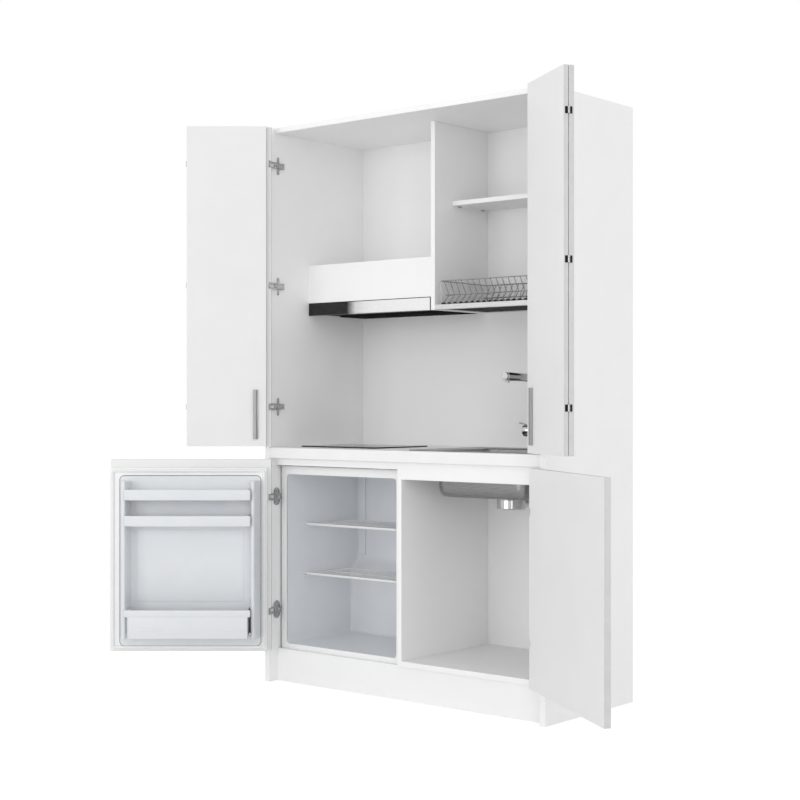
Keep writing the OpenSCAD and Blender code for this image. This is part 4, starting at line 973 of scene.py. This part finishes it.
UNBEVELLED = ("wire_shelf_upper", "wire_shelf_lower", "sink_strainer", "fridge_feet")
for name in nodes:
    soften(name, 0 if name in UNBEVELLED else BEVEL_WIDTH)
for body in ("left_outer", "left_inner", "right_outer", "right_inner"):
    paint_edge_shade(nodes[body + "_leaf"], body)
paint_edge_shade(nodes["sink_door"], "sink_door")
for name in ("left_handle", "right_handle"):
    nodes[name].data.materials[0] = HANDLE_GREY
nodes["hood_bar"].data.materials[0] = BAR_PAINTED_REFLECTION
# painted shade: the hood body gets black metal in place of its own finish, so that its underside
# shows black
nodes["hood_body"].data.materials[0] = MATERIALS["black_metal"]
# painted shade: the fridge cabinet's faces other than front and back are made near black, for the
# shade in the gaps round it
finish_faces(nodes["fridge_cabinet"], CASE_PAINTED_SHADE, lambda p: abs(p.normal.y) < 0.5)

# ---- light and floor ----

WORLD_LIGHT = 0.80
WORLD_SHOWN = 1.0
FLOOR_GLOW = 1.12
FLOOR_GLOW_SHARE = 0.75
FLOOR_HALF = 30
FLOOR_DROP = 0.0005  # keeps the floor clear of the part's feet


def largest(n, l, sockets):
    """Largest of several values, so 1 where any of them is 1."""
    out = sockets[0]
    for other in sockets[1:]:
        pair = n.new("ShaderNodeMath")
        pair.operation = "MAXIMUM"
        l.new(out, pair.inputs[0])
        l.new(other, pair.inputs[1])
        out = pair.outputs[0]
    return out


def backdrop():
    """World that lights softly, and shows white to the camera and in reflections."""
    world = bpy.data.worlds.new("world")
    bpy.context.scene.world = world
    world.use_nodes = True
    n, l = world.node_tree.nodes, world.node_tree.links
    lit = n["Background"]
    lit.inputs["Color"].default_value = (1, 1, 1, 1)
    lit.inputs["Strength"].default_value = WORLD_LIGHT
    shown = n.new("ShaderNodeBackground")
    shown.inputs["Color"].default_value = (1, 1, 1, 1)
    shown.inputs["Strength"].default_value = WORLD_SHOWN
    path = n.new("ShaderNodeLightPath")
    rays = [path.outputs[ray] for ray in ("Is Camera Ray", "Is Glossy Ray",
                                          "Is Transmission Ray")]
    mix = n.new("ShaderNodeMixShader")
    l.new(largest(n, l, rays), mix.inputs["Fac"])
    l.new(lit.outputs[0], mix.inputs[1])
    l.new(shown.outputs[0], mix.inputs[2])
    l.new(mix.outputs[0], n["World Output"].inputs["Surface"])


def area_light(name, at, towards, side, power):
    """Square lamp of a given side, in metres and watts."""
    data = bpy.data.lights.new(name, "AREA")
    data.shape = "SQUARE"
    data.size = side
    data.energy = power
    lamp = bpy.data.objects.new(name, data)
    lamp.location = at
    lamp.rotation_mode = "QUATERNION"
    lamp.rotation_quaternion = (Vector(towards) - Vector(at)).to_track_quat("-Z", "Y")
    bpy.context.scene.collection.objects.link(lamp)


def floor():
    """Pale floor that is white to the camera where no shadow falls on it."""
    m, n, l = node_tree("floor_white")
    bsdf = n["Principled BSDF"]
    bsdf.inputs["Base Color"].default_value = (0.9, 0.9, 0.9, 1)
    bsdf.inputs["Roughness"].default_value = 0.9
    glow = n.new("ShaderNodeEmission")
    glow.inputs["Strength"].default_value = FLOOR_GLOW
    path = n.new("ShaderNodeLightPath")
    share = n.new("ShaderNodeMath")
    share.operation = "MULTIPLY"
    share.inputs[1].default_value = FLOOR_GLOW_SHARE
    l.new(path.outputs["Is Camera Ray"], share.inputs[0])
    mix = n.new("ShaderNodeMixShader")
    l.new(share.outputs[0], mix.inputs["Fac"])
    l.new(bsdf.outputs[0], mix.inputs[1])
    l.new(glow.outputs[0], mix.inputs[2])
    l.new(mix.outputs[0], n["Material Output"].inputs["Surface"])
    corners = [(x * FLOOR_HALF, y * FLOOR_HALF, 0)
               for x, y in ((-1, -1), (1, -1), (1, 1), (-1, 1))]
    mesh = bpy.data.meshes.new("floor")
    mesh.from_pydata(corners, [], [(0, 1, 2, 3)])
    obj = bpy.data.objects.new("floor", mesh)
    obj.location.z = -FLOOR_DROP
    mesh.materials.append(m)
    bpy.context.scene.collection.objects.link(obj)


backdrop()
floor()
area_light("key", at=(5.2, -4.2, 1.8), towards=(0, -0.3, 1.0), side=3.5, power=50)
area_light("fill", at=(-0.8, -9.0, 1.3), towards=(0, -0.3, 1.1), side=4.0, power=142)

view = bpy.context.scene.view_settings
view.view_transform = "Standard"
